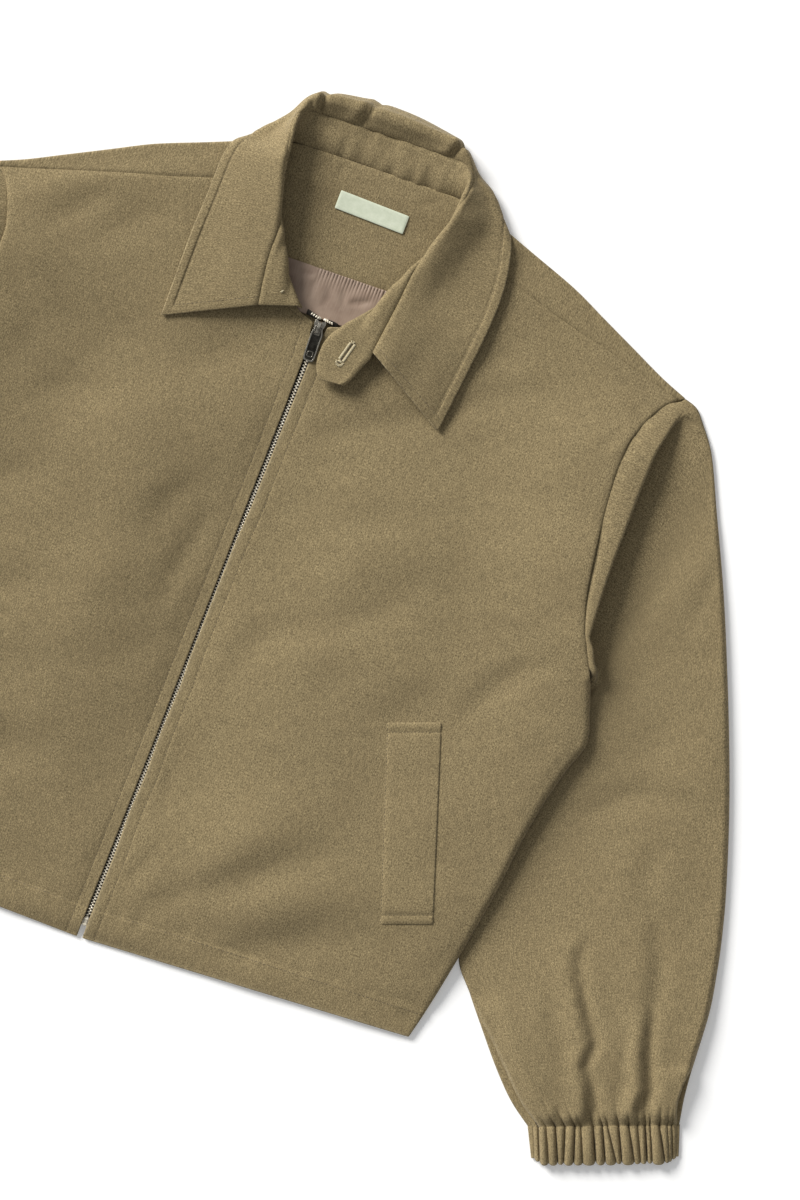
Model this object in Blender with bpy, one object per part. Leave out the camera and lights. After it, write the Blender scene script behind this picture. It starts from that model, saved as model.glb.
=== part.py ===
"""Cropped zip jacket with a shirt collar, laid flat on its back with the collar opened out.

Sizes are the maker's millimetres, and MM turns them into metres. The lay is read from above:
u runs to the wearer's left, v runs up to the collar and z rises from the table. Most pieces are
set out in (h, v), where h is the distance from the slightly leaning zip line, so that the two
sides share their tables. Every cloth piece is a middle surface that a Solidify wall thickens.
"""

import math

import bmesh
import bpy
from mathutils import Vector

MM = 0.001
LEFT, RIGHT = 1, -1                 # the wearer's sides: left is +u

# The lay
LAY_MIDDLE = (-4.7, 284.6)          # middle of the garment's outline in (u, v)
ZIP_FOOT_U, ZIP_LEAN = -15.0, 0.0435
RIGHT_WIDTH = 0.99                  # the wearer's right half lies a little narrower

# Cloth
CLOTH = 1.4
COLLAR_CLOTH = 1.6
SEAM = 0.3
TURN = 1.2                          # from a folded edge to where the layer runs flat
FLOOR_LAYER = CLOTH / 2
STACK = CLOTH + SEAM                # from one layer's middle to the next
SLEEVE_LIFT = 3.6                   # the back rises this much where it lies on the sleeve
NECK_LIFT = 2.4                     # and this much on its own neck seam
BODY_FILL = 3.3                     # most air between front and back
ZIP_FILL = 1.95
FRONT_DROP = 1.2                    # the front hem sinks past the shorter back
SLEEVE_FILL = 3.3

# Edges of the wearer's left half, read as u at each v. Pieces that share an edge have points
# at these v, so that their faceted edges stay parallel.
SIDE_EDGE = [(-2, 232), (11, 235.5), (34, 241), (62, 247), (92, 253), (124, 258.6), (158, 263),
             (190, 269.3), (218, 277), (241, 284.5), (262, 279), (282, 272.5)]
ARMHOLE = [(282, 272.5), (292, 268), (303, 262.3), (320, 255), (344, 249), (372, 245.3),
           (401, 242.4), (430, 241), (452, 242.3), (468, 247.4), (480, 253), (490, 260),
           (498.4, 270.5)]
BACK_ARMHOLE = [(282, 272.5), (303, 267), (344, 257.5), (401, 253), (452, 255), (485, 263),
                (498.4, 270.5)]
FOLD_EDGE = [(282, 274.2), (290, 273.8), (297, 270), (305, 266.5), (313, 261), (330, 260),
             (360, 259.5), (401, 260.8), (430, 262), (452, 263.5), (468, 267), (485, 271),
             (498.4, 275)]
FOLD_DEPTH = [(282, -2), (292, -1), (303, 1), (320, 7), (401, 11), (452, 10), (468, 4),
              (480, -1), (490, -5), (498.4, -8)]
SLEEVE_INNER = [(65, 248), (104, 244), (138, 244.5), (172, 248), (206, 254), (232, 262),
                (250, 270), (266, 276)]
SHOULDER = [(70, 579.5), (98, 575), (113, 569), (142, 558), (170, 547), (198, 533), (226, 519),
            (253, 505.6), (270.5, 498.4)]

NECK_HALF_WIDTH = 88                # h where the shoulder fold meets the neck seam
NECK_TOP_V = 581.4
TIP_V = 498.4
HEM_OUTER_V, HEM_INNER_V = -1.5, -10.8
BACK_SHORTER = 12.5
NECK_RAMP = (545.2, 565.5)          # v over which the back rises on to its neck seam

# One row for each line across a front: where it leaves the zip or neckline, and the v at which
# it meets the side, armhole or shoulder tip.
FRONT_ROWS = [
    # inner_h, inner_v, outer_v
    (2.7, -10.8, -1.5),
    (2.6, 5, 11),
    (2.5, 30, 34),
    (2.4, 62, 62),
    (2.3, 98, 92),
    (2.2, 135, 124),
    (2.2, 174, 158),
    (2.2, 212, 190),
    (2.2, 246, 218),
    (2.2, 276, 241),
    (2.3, 303, 262),
    (2.4, 327, 282),
    (2.4, 341, 292),
    (2.5, 355, 303),
    (2.5, 373, 320),
    (2.6, 395, 344),
    (2.8, 416, 372),
    (2.9, 435, 401),
    (3.4, 450, 430),
    (5.6, 457, 452),
    (6.0, 462, 468),
    (17.5, 466.5, 474),
    (37.5, 485, 480),
    (54.5, 502.5, 485),
    (71, 520.5, 490),
    (88.5, 544.5, 495.4),
]
FRONT_COLUMNS = [0, 0.04, 0.12, 0.23, 0.35, 0.47, 0.58, 0.69, 0.78, 0.84, 0.89, 0.94, 1]

BACK_ROW_V = [11, 34, 62, 92, 124, 158, 190, 218, 241, 262, 282, 292, 303, 344, 401, 431.4, 452,
              468, 485, TIP_V]
BACK_COLUMNS = [0, 0.106, 0.212, 0.287, 0.334, 0.45, 0.57, 0.69, 0.78, 0.84, 0.89, 0.94, 1]

# Soft troughs pressed in the laid cloth, from one end to the other
SOFT_FOLDS = [
    # side, u1, v1, u2, v2, width, share of the air pressed out
    (RIGHT, -14, 456, -82, 410, 16, 0.60),
    (RIGHT, -120, 505, -176, 462, 15, 0.45),
    (RIGHT, -232, 440, -182, 392, 12, 0.50),
    (RIGHT, -110, 98, -22, 48, 15, 0.55),
    (RIGHT, -190, 300, -150, 210, 18, 0.35),
    (LEFT, 4, 140, 16, 80, 12, 0.30),
    (LEFT, 6, 203, 60, 240, 18, 0.40),
    (LEFT, 8, 18, 82, 68, 14, 0.50),
    (LEFT, 116, 47, 165, 65, 13, 0.40),
    (LEFT, 45, 440, 70, 395, 16, 0.60),
    (LEFT, 205, 262, 235, 236, 15, 0.40),
]
SLEEVE_FOLDS = [
    # u1, v1, u2, v2, width, share of the air pressed out
    (334, 112, 333, 84, 9, 0.55),
    (333, 84, 360, 36, 9, 0.70),
    (360, 36, 378, -24, 8, 0.80),
    (384, 150, 396, 78, 10, 0.55),
    (396, 78, 418, -6, 9, 0.85),
    (346, 24, 358, -32, 8, 0.45),
    (334, 216, 358, 229, 12, 0.35),
]

# Sleeve rings past the folded strip at its head: both ends of the line across the sleeve
SLEEVE_ROWS = [
    # outer_u, outer_v, inner_u, inner_v
    (300.5, 471, 276, 266),
    (322, 425, 270, 250),
    (345, 374, 262, 232),
    (366, 322.5, 254, 206),
    (384, 276, 248, 172),
    (399, 233, 244.5, 138),
    (411, 193, 244, 104),
    (421, 153, 248, 65),
    (428, 117, 265, 41),
    (432.5, 80, 283, 18),
    (433.5, 46, 300, -3),
    (435, 22, 318, -22),
    (438, 1.5, 335.2, -35.2),
]
SLEEVE_RINGS = 14
# The wearer's right sleeve is drawn back to the body, by this much at each v of its inner edge
SLEEVE_TUCK = [(-36, 16), (18, 14), (65, 11), (104, 8.5), (138, 6.2), (172, 4.2), (206, 2.4),
               (232, 1), (258, 0)]
# The strip's lines, armhole seam first: where each meets the outer edge, and the inner edge with
# the height of the turned edge there
HEAD_ROWS = [
    # outer_u, outer_v, inner_u, inner_v, inner_z
    (271.2, 498.2, 273.6, 282.4, 5.0),
    (273.2, 497.9, 274.3, 281.4, 4.9),
    (275.5, 497.2, 274.9, 280.2, 4.4),
    (278, 496.4, 275.4, 278.9, 3.8),
    (280.5, 495.2, 276.0, 277.4, 3.1),
    (283, 493.4, 276.6, 275.8, 2.4),
    (285.5, 490.6, 277.2, 274.0, 1.9),
    (289, 486, 277.8, 271.6, 1.6),
]
# How far along a ring the lower layer has its points, from the inner edge
UNDER_V = [303, 344, 401, 452, 485]

# Cuff
CUFF_SEAM = [(438.4, 1.1), (335.4, -35.7)]
CUFF_EDGE = [(446, -24), (346.5, -59.3)]
CUFF_GATHERS = 21
GATHER_POINTS = 3
CUFF_CLOTH = 1.6
CUFF_HEIGHT, CUFF_GATHER_DEPTH = 4.6, 1.7

# Collar: one row for each section across it, from the wearer's right front end, round the back
# of the neck, to the wearer's left front end. The neck seam and the roll are places in (u, v, z),
# the azimuth is the way that the leaf leads outward, and the leaf turns under at "turn" past the
# roll; where it only lies on the front, "turn" is LIES_ON.
LIES_ON = 200
COLLAR_ROWS = [
    # neck u, v, z,      roll u, v, z,      stand and leaf azimuth, turn, rest z, stand, leaf
    (-11.3, 469.8, 5.2, -12.5, 471.0, 9.8, 195, 206, LIES_ON, 7.7, 33, 69),
    (-45.5, 503.6, 5.6, -31.5, 500, 13.4, 195, 200, LIES_ON, 7.7, 31, 61),
    (-60, 521, 6.1, -39.5, 516, 16.2, 189.5, 192, LIES_ON, 7.7, 30.5, 58.5),
    (-73.5, 539, 6.6, -47, 532, 18.4, 184, 184, LIES_ON, 7.8, 30, 56),
    (-75.6, 562, 7.2, -54, 560, 21.0, 175, 175, LIES_ON, 8.6, 29, 47),
    (-76.5, 567.5, 6.3, -54.7, 567, 21.0, 168, 168, 35, 8.4, 29, 43),
    (-75.5, 572.9, 6.0, -55.3, 574, 20.0, 160, 160, 28, 7.6, 29, 45),
    (-73.2, 577.6, 5.8, -56, 583, 19.0, 149, 149, 19, 7.2, 28.5, 49),
    (-64.5, 580.6, 5.2, -57, 597, 16.0, 140, 140, 8.5, 7.0, 27, 54),
    (-53, 581.9, 4.8, -53, 611, 12.5, 128, 128, 6.5, 6.8, 26, 55),
    (-38, 582, 4.5, -42, 619, 9.5, 112, 112, 5, 6.4, 26, 55),
    (-11, 582, 4.4, -11, 620, 8.3, 92, 92, 8.7, 6.0, 26, 55),
    (24, 582, 4.4, 24, 619, 8.3, 88, 88, 8.7, 6.0, 26, 55),
    (51, 582, 4.5, 54, 618, 9.5, 70, 70, 5, 6.4, 26, 55),
    (67, 581.9, 4.8, 66, 610, 12.5, 52, 52, 4.5, 6.8, 26, 55),
    (81, 581.2, 5.2, 72, 596, 16.0, 42, 42, 8.8, 7.0, 27, 54),
    (91, 578, 5.9, 72, 583, 19.0, 32, 32, 18.5, 7.2, 28.5, 50),
    (94, 573, 6.1, 71, 574, 20.0, 21, 21, 28.5, 7.6, 29, 46),
    (95, 567, 6.3, 70, 567, 21.0, 12, 12, 37, 8.4, 29, 45),
    (94.6, 560, 7.0, 68.8, 560, 21.0, 4, 4, LIES_ON, 8.6, 29, 52),
    (91, 541, 6.3, 61.5, 540, 18.4, -5, -6, LIES_ON, 7.8, 30, 61),
    (75.5, 522.8, 6.1, 52.5, 520.5, 16.2, -10.5, -13.5, LIES_ON, 7.7, 30.5, 64),
    (59.5, 504.6, 5.6, 43, 501, 13.4, -16, -21, LIES_ON, 7.7, 31, 67),
    (21.4, 467.2, 6.4, 19.6, 466.0, 9.4, -11, -32, LIES_ON, 7.7, 31, 73),
]
# The tab that carries the buttonhole goes on from the last section
TAB_ROWS = [
    # zip-side u, v, outer u, v
    (14.8, 453, 46.6, 447.5),
    (12.2, 441.5, 44.2, 438.5),
    (16.5, 432.5, 41.2, 431.6),
    (22.5, 425.2, 36.5, 427.2),
]
COLLAR_COLUMNS = 2 * len(COLLAR_ROWS) - 1
COLLAR_SEAM = 1.2
LEAF_LOWEST = 1.15                  # z of its middle where it turns under, just off the table
STAND_SHARES = [0, 0.3, 0.6, 0.84, 0.94, 1]
LEAF_SHARES = [0, 0.06, 0.2, 0.4, 0.6, 0.8, 1]        # from its seam to where it turns under
ROLL_RADIUS = 3.0
TAB_Z = 7.6

BUTTON_MIDDLE, BUTTON_RADIUS, BUTTON_HEIGHT = (-30.5, 473.5), 6.0, 1.4

# Zip
TAPE_WIDTH, TAPE_CLOTH, TAPE_Z = 10.5, 0.7, 3.0
CHAIN_WIDTH, CHAIN_HEIGHT = 4.2, 2.0
ZIP_BOTTOM_V, CHAIN_FOOT_V, CHAIN_TOP_V = -2.5, 5.4, 454.6
SLIDER_LENGTH, SLIDER_WIDTH = 11.0, 8.6
SLIDER_Z = (1.75, 5.05)
SLIDER_FOOT_V = 455.0
BRIDGE_WIDTH, BRIDGE_TOP_Z, BRIDGE_WALL = 2.2, 8.3, 1.1
PULL_AXIS_V, PULL_AXIS_Z = 461.2, 6.15
PULL_LENGTH, PULL_WIDTH, PULL_HEIGHT = 26.0, 8.6, 1.3
PULL_BAR = 1.3
PULL_EYE = (5.4, 3.4)               # eye length along the pull, and width
STOP_SIZE = (4.2, 2.2, 2.0)

# Welt pockets, (u, v) corners on the wearer's left: top inner, top outer, low outer, low inner
WELT_CORNERS = [(144.5, 207), (180.5, 219.5), (221.5, 81.5), (186.5, 69.5)]
WELT_CLOTH, WELT_RISE = 1.2, 1.15
WELT_STEPS_LONG, WELT_STEPS_WIDE = 12, 3

# The facing follows the back's own points inside these limits; the lining has half widths at
# each v
FACING_FROM_V, FACING_COLUMNS = 430, 4
LINING_ROWS = [(501.2, 54), (490, 50), (479, 42), (468.9, 30)]
LINING_CLOTH = 1.0
LABEL_MIDDLE, LABEL_SIZE, LABEL_CLOTH, LABEL_TILT = (14.0, 551.8), (52, 13), 1.0, -2.2


# ---------------------------------------------------------------- reading the tables

def clamp(value, low=0.0, high=1.0):
    return max(low, min(high, value))


def ease(value):
    """0 to 1 with level ends."""
    x = clamp(value)
    return x * x * (3 - 2 * x)


def mix(a, b, share):
    return a + (b - a) * share


def read(table, at):
    """The second column of a table whose first column rises, at a value of the first."""
    if at <= table[0][0]:
        return table[0][1]
    for (x1, y1), (x2, y2) in zip(table, table[1:]):
        if at <= x2:
            return mix(y1, y2, (at - x1) / (x2 - x1))
    return table[-1][1]


def spread(rows, count):
    """A smooth curve through equal-length rows of numbers, as count rows."""
    result = []
    last = len(rows) - 1
    for step in range(count):
        place = last * step / (count - 1)
        index = min(int(place), last - 1)
        t = place - index
        before, here = rows[max(index - 1, 0)], rows[index]
        after, beyond = rows[index + 1], rows[min(index + 2, last)]
        row = []
        for p0, p1, p2, p3 in zip(before, here, after, beyond):
            slope1, slope2 = (p2 - p0) / 2, (p3 - p1) / 2
            row.append((2 * t**3 - 3 * t**2 + 1) * p1 + (t**3 - 2 * t**2 + t) * slope1
                       + (3 * t**2 - 2 * t**3) * p2 + (t**3 - t**2) * slope2)
        result.append(row)
    return result


# ---------------------------------------------------------------- the lay

def zip_u(v):
    return ZIP_FOOT_U + ZIP_LEAN * v


def to_metres(u, v, z):
    return Vector(((u - LAY_MIDDLE[0]) * MM, (v - LAY_MIDDLE[1]) * MM, z * MM))


def on_side(side, h, v, z, tuck=0.0):
    """A point h from the zip line on one side of it; tuck draws it back to the body."""
    width = 1.0 if side == LEFT else RIGHT_WIDTH
    return to_metres(zip_u(v) + side * (h * width - tuck), v, z)


def edge_h(table, v):
    """h of an edge that is tabled as the wearer's left u at each v."""
    return read(table, v) - zip_u(v)


def shoulder_v(h):
    """Where the shoulder fold crosses h; the zip line leans so little that three steps settle it."""
    u = h
    for _ in range(3):
        u = h + zip_u(read(SHOULDER, u))
    return read(SHOULDER, u)


def side_h(v):
    return edge_h(SIDE_EDGE, v)


def under_arm_distance(h, v):
    """How far a point lies inside the side seam, measured past its top end as well."""
    top_v = SIDE_EDGE[-1][0]
    return math.hypot(max(0.0, v - top_v), side_h(min(v, top_v)) - h)


def trough(u, v, u1, v1, u2, v2, width):
    """1 on the line between two points, fading over the width and past the ends."""
    length = math.hypot(u2 - u1, v2 - v1)
    along = ((u - u1) * (u2 - u1) + (v - v1) * (v2 - v1)) / length
    across = ((u - u1) * (v2 - v1) - (v - v1) * (u2 - u1)) / length
    past = max(0.0, -along, along - length)
    return math.exp(-(across / width) ** 2 - (past / width) ** 2)


def back_z(side, h, v):
    """Middle of the back panel: on the table, but raised on the sleeves and the neck seam."""
    over_sleeve = ease((h - edge_h(SLEEVE_INNER, v) + sleeve_tuck(side, v) + 30) / 17)
    over_sleeve *= ease((300 - v) / 16) * ease((v - 12) / 22)
    ramp_low, ramp_high = NECK_RAMP
    at_neck = clamp((v - ramp_low) / (ramp_high - ramp_low)) * ease((128 - h) / 24)
    return FLOOR_LAYER + SLEEVE_LIFT * over_sleeve + NECK_LIFT * at_neck


def front_z(side, h, v):
    """Middle of the front, with the air under it pressed out at edges and along soft folds."""
    sides = ease(under_arm_distance(h, v) / 28)
    shoulder = ease((shoulder_v(h) - v) / 26)
    hem = 0.1 + 0.9 * ease(v / 48)
    body = BODY_FILL * sides * shoulder * hem
    at_zip = ZIP_FILL * ease((v + 11) / 8)
    air = mix(at_zip, body, ease((h - 14) / 46))
    u = zip_u(v) + side * h
    calm = ease((h - 12) / 14)
    for fold_side, u1, v1, u2, v2, width, share in SOFT_FOLDS:
        if fold_side == side:
            air *= 1 - share * calm * trough(u, v, u1, v1, u2, v2, width)
    drop = FRONT_DROP * ease((3 - v) / 12)
    return back_z(side, h, v) + STACK + air - drop


# ---------------------------------------------------------------- mesh helpers

def make_finish(name, colour, roughness, metallic=0.0):
    finish = bpy.data.materials.new(name)
    finish.use_nodes = True
    shader = finish.node_tree.nodes["Principled BSDF"]
    shader.inputs["Base Color"].default_value = (*colour, 1.0)
    shader.inputs["Roughness"].default_value = roughness
    shader.inputs["Metallic"].default_value = metallic
    finish.diffuse_color = (*colour, 1.0)
    return finish


def row_of(bm, points):
    return [bm.verts.new(point) for point in points]


def skin(bm, first, second, closed=False):
    """Quads between two rows of as many vertices."""
    count = len(first) if closed else len(first) - 1
    for index in range(count):
        after = (index + 1) % len(first)
        bm.faces.new((first[index], first[after], second[after], second[index]))


def skin_all(bm, rows, closed=False):
    for first, second in zip(rows, rows[1:]):
        skin(bm, first, second, closed)


def finish_piece(name, bm, finish, cloth=None):
    """Turn a bmesh into a named object; cloth thickens a middle surface to that wall."""
    mesh = bpy.data.meshes.new(name)
    bm.to_mesh(mesh)
    bm.free()
    mesh.materials.append(finish)
    mesh.shade_smooth()
    mesh.set_sharp_from_angle(angle=math.radians(50))
    piece = bpy.data.objects.new(name, mesh)
    bpy.context.scene.collection.objects.link(piece)
    if cloth:
        wall = piece.modifiers.new("Wall", "SOLIDIFY")
        wall.thickness = cloth * MM
        wall.offset = 0.0
    return piece


def add_box(bm, corners):
    """A closed box from eight corners: four below, then the four above them."""
    verts = row_of(bm, corners)
    bm.faces.new(verts[3::-1])
    bm.faces.new(verts[4:])
    skin(bm, verts[:4], verts[4:], closed=True)


def bevel_all(bm, width, segments=1):
    bmesh.ops.bevel(bm, geom=bm.edges[:], offset=width * MM, segments=segments, affect="EDGES",
                    profile=0.5)


# ---------------------------------------------------------------- body

def front_row_points(side, row):
    inner_h, inner_v, outer_v = row
    table = SIDE_EDGE if outer_v <= SIDE_EDGE[-1][0] else ARMHOLE
    outer_h = edge_h(table, outer_v)
    if outer_v > SIDE_EDGE[-1][0]:
        outer_h -= SEAM
    points = []
    for share in FRONT_COLUMNS:
        h, v = mix(inner_h, outer_h, share), mix(inner_v, outer_v, share)
        points.append(on_side(side, h, v, front_z(side, h, v)))
    return points


def make_front(side, name, finish):
    """A front, from the zip edge to the side and armhole and up to the forward shoulder seam."""
    bm = bmesh.new()
    skin_all(bm, [row_of(bm, front_row_points(side, row)) for row in FRONT_ROWS])
    return finish_piece(name, bm, finish, CLOTH)


def back_top_v(h):
    """Top of the back's lower layer: the shoulder fold, or the neckline between them."""
    if h >= NECK_HALF_WIDTH:
        return shoulder_v(h)
    return NECK_TOP_V - (NECK_TOP_V - shoulder_v(NECK_HALF_WIDTH)) * (h / NECK_HALF_WIDTH) ** 6


def forward_seam_v(h):
    """The seam where the back, brought over the shoulder, meets the front."""
    inner_h, inner_v, outer_v = FRONT_ROWS[-1]
    outer_h = edge_h(ARMHOLE, outer_v) - SEAM
    return mix(inner_v, outer_v, (h - inner_h) / (outer_h - inner_h)) + SEAM


def back_point(share_out, row_v):
    """(h, v) of the back's lower layer, by its share of the width and its row at the side."""
    low_v = HEM_OUTER_V + BACK_SHORTER
    share_up = (row_v - low_v) / (TIP_V - low_v)
    side_top = SIDE_EDGE[-1][0]
    edge = edge_h(SIDE_EDGE, row_v) if row_v <= side_top else edge_h(BACK_ARMHOLE, row_v) - SEAM
    column_h = share_out * edge_h(BACK_ARMHOLE, TIP_V)
    hem_v = mix(HEM_INNER_V, HEM_OUTER_V, min(1, column_h / 200)) + BACK_SHORTER
    top_v = back_top_v(column_h) - (TURN if column_h >= NECK_HALF_WIDTH else 0.0)
    return edge * share_out, mix(hem_v, top_v, share_up)


def shoulder_rows(bm, side, first_row, shares):
    """The rows that bring the back over one shoulder, from its last lower row."""
    rows = [first_row]
    tip_h = edge_h(BACK_ARMHOLE, TIP_V)
    for step in (None, 0.0, 0.5, 1.0):
        points = []
        for share_out in shares:
            top_v = back_top_v(share_out * tip_h)
            if step is None:
                h = share_out * tip_h
                points.append(on_side(side, h, top_v, back_z(side, h, top_v) + STACK / 2))
                continue
            tip_row_v = mix(TIP_V - TURN, FRONT_ROWS[-1][2] + SEAM, step)
            h = share_out * (edge_h(ARMHOLE, tip_row_v) - SEAM)
            v = mix(top_v - TURN, forward_seam_v(h), step)
            z = back_z(side, h, v) + STACK if step == 0.0 else front_z(side, h, v)
            points.append(on_side(side, h, v, z))
        rows.append(row_of(bm, points))
    return rows


def make_back(finish):
    """The back, on the table, brought over both shoulders to the forward seams."""
    bm = bmesh.new()
    columns = [(RIGHT, share) for share in reversed(BACK_COLUMNS)]
    columns += [(LEFT, share) for share in BACK_COLUMNS[1:]]
    rows = []
    for row_v in BACK_ROW_V:
        points = []
        for side, share in columns:
            h, v = back_point(share, row_v)
            points.append(on_side(side, h, v, back_z(side, h, v)))
        rows.append(row_of(bm, points))
    skin_all(bm, rows)
    neck_share = NECK_HALF_WIDTH / edge_h(BACK_ARMHOLE, TIP_V)
    for side in (RIGHT, LEFT):
        places = [n for n, (s, share) in enumerate(columns) if s == side and share >= neck_share]
        first_row = [rows[-1][n] for n in places]
        skin_all(bm, shoulder_rows(bm, side, first_row, [columns[n][1] for n in places]))
    bmesh.ops.recalc_face_normals(bm, faces=bm.faces)
    return finish_piece("back", bm, finish, CLOTH)


# ---------------------------------------------------------------- sleeves

def strip_places(side, index):
    """Places [u, v, z] down one line of the folded strip at the sleeve head, 0 being the seam.

    The front layer runs from the armhole seam to the fold edge, back under itself and out
    again, so it reads as a Z from above, which opens out to nothing at both ends.
    """
    outer_u, outer_v, inner_u, inner_v, _ = HEAD_ROWS[index]
    points = [[outer_u, outer_v, 0.0]]
    top_v, foot_v = ARMHOLE[-1][0], ARMHOLE[0][0]
    for armhole_v, _ in reversed(ARMHOLE[1:-1]):
        v = mix(outer_v, inner_v, (top_v - armhole_v) / (top_v - foot_v))
        seam, edge, depth = read(ARMHOLE, v), read(FOLD_EDGE, v), read(FOLD_DEPTH, v)
        seam_z = front_z(side, seam - zip_u(v), v)
        low_z = mix(FLOOR_LAYER + STACK, seam_z, ease(-depth / 8))
        folded = clamp(depth / (2 * TURN), -1, 1)
        hidden = edge - depth
        middle_z = (seam_z + low_z) / 2
        turn_z = (seam_z - low_z) / 4
        u, z = (
            (seam, seam_z),
            (mix(seam, edge, 0.6) if depth < 0 else edge - TURN, seam_z),
            (edge, seam_z - turn_z),
            (edge - TURN * folded, middle_z + 0.1 * (1 - abs(folded))),
            (hidden + TURN * folded, middle_z - 0.1 * (1 - abs(folded))),
            (hidden, low_z + turn_z),
            (hidden + TURN, low_z),
            (max(edge, hidden) + 7, low_z),
        )[index]
        points.append([u, v, z])
    points.append([inner_u, inner_v, 0.0])
    return points


def sleeve_height(u, v, from_outer, from_inner):
    """Middle of the sleeve's upper layer; it stays low beside and beneath the body."""
    side_top = SIDE_EDGE[-1][0]
    cover = read(FOLD_EDGE, v) if v > side_top else read(SIDE_EDGE, v)
    clear = ease((u - cover - 4) / 30) if v > 40 else 1.0
    air = SLEEVE_FILL * ease(from_outer / 28) * ease(from_inner / 28) * clear
    for u1, v1, u2, v2, width, share in SLEEVE_FOLDS:
        air *= 1 - share * trough(u, v, u1, v1, u2, v2, width)
    return FLOOR_LAYER + STACK + air


def sleeve_places(row):
    """Places [u, v, z] along one line across the upper layer, outer edge to inner edge."""
    outer_u, outer_v, inner_u, inner_v = row
    length = math.hypot(outer_u - inner_u, outer_v - inner_v)
    top_v, foot_v = ARMHOLE[-1][0], ARMHOLE[0][0]
    points = []
    for armhole_v, _ in reversed(ARMHOLE):
        level = (top_v - armhole_v) / (top_v - foot_v)
        u, v = mix(outer_u, inner_u, level), mix(outer_v, inner_v, level)
        points.append([u, v, sleeve_height(u, v, level * length, (1 - level) * length)])
    return points


def toward(start, end, distance):
    """The (u, v) at a distance from one place towards another."""
    share = distance / math.hypot(end[0] - start[0], end[1] - start[1])
    return mix(start[0], end[0], share), mix(start[1], end[1], share)


def ring_points(side, upper, inner_z, back_share, tuck):
    """A closed ring: a turned edge, the upper layer, the other turned edge and the lower layer.

    back_share draws the lower layer's points on to the back armhole, 1 being the seam itself.
    """
    outer, inner = upper[0][:2], upper[-1][:2]
    low, turned = FLOOR_LAYER, FLOOR_LAYER + STACK / 2
    places = [(*outer, turned), (*toward(outer, upper[1], TURN), low + STACK)]
    places += [tuple(place) for place in upper[1:-1]]
    places.append((*toward(inner, upper[-2], TURN), inner_z + STACK / 2))
    places.append((*inner, inner_z))
    lower = []
    top_v, foot_v = ARMHOLE[-1][0], ARMHOLE[0][0]
    for under_v in UNDER_V:
        level = (top_v - under_v) / (top_v - foot_v)
        u, v = mix(outer[0], inner[0], level), mix(outer[1], inner[1], level)
        u = mix(u, read(BACK_ARMHOLE, v) + 2 * SEAM, back_share)
        lift = (inner_z - turned) * ease((level - 0.82) / 0.18)
        lower.append((u, v, low + lift))
    places.append((*toward(inner, lower[0], TURN), inner_z - STACK / 2))
    places += lower
    places.append((*toward(outer, lower[-1], TURN), low))
    return [on_side(side, u - zip_u(v), v, z, tuck) for u, v, z in places]


def make_sleeve(side, name, finish):
    """A sleeve laid flat as a tube, its head folded into a strip beside the armhole seam."""
    bm = bmesh.new()
    rings = []
    for index, row in enumerate(HEAD_ROWS):
        upper = strip_places(side, index)
        if index == 0:
            upper = [[u + SEAM / 2, v, z] for u, v, z in upper]
        rings.append(ring_points(side, upper, row[-1], 1 - index / len(HEAD_ROWS), 0.0))
    turned = FLOOR_LAYER + STACK / 2
    for row in spread(SLEEVE_ROWS, SLEEVE_RINGS):
        rings.append(ring_points(side, sleeve_places(row), turned, 0.0, sleeve_tuck(side, row[3])))
    skin_all(bm, [row_of(bm, ring) for ring in rings], closed=True)
    bmesh.ops.recalc_face_normals(bm, faces=bm.faces)
    return finish_piece(name, bm, finish, CLOTH)


def sleeve_tuck(side, v):
    return 0.0 if side == LEFT else read(SLEEVE_TUCK, v)


def cuff_share(share):
    """Gathers are uneven: this bends the even spacing a little."""
    return share + 0.006 * math.sin(17 * share) + 0.005 * math.sin(41 * share + 1)


def make_cuff(side, name, finish):
    """An elastic cuff: gathered above, flat on the table below."""
    bm = bmesh.new()
    steps = CUFF_GATHERS * GATHER_POINTS
    rows = []
    tuck = sleeve_tuck(side, CUFF_SEAM[1][1])
    for along in (0.0, 1.0):
        outer = [mix(a, b, along) for a, b in zip(CUFF_SEAM[0], CUFF_EDGE[0])]
        inner = [mix(a, b, along) for a, b in zip(CUFF_SEAM[1], CUFF_EDGE[1])]
        length = math.hypot(outer[0] - inner[0], outer[1] - inner[1])
        low = CUFF_CLOTH / 2
        turned = low + (CUFF_CLOTH + SEAM) / 2
        places = [(0.0, turned)]
        for step in range(steps + 1):
            share = mix(0.014, 0.986, step / steps)
            rounding = ease(share * length / 9) * ease((1 - share) * length / 9)
            gather = abs(math.sin(math.pi * CUFF_GATHERS * cuff_share(step / steps)))
            height = mix(low + CUFF_CLOTH + SEAM, CUFF_HEIGHT, rounding)
            depth = CUFF_GATHER_DEPTH * (0.75 + 0.25 * along) * rounding
            places.append((share, height + depth * (gather - 0.35)))
        places.append((1.0, turned))
        places += [(share, low) for share in (0.985, 0.85, 0.7, 0.55, 0.4, 0.25, 0.12, 0.015)]
        points = []
        for share, z in places:
            u, v = mix(outer[0], inner[0], share), mix(outer[1], inner[1], share)
            points.append(on_side(side, u - zip_u(v), v, z, tuck))
        rows.append(row_of(bm, points))
    skin_all(bm, rows, closed=True)
    bmesh.ops.recalc_face_normals(bm, faces=bm.faces)
    return finish_piece(name, bm, finish, CUFF_CLOTH)


# ---------------------------------------------------------------- collar

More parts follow.
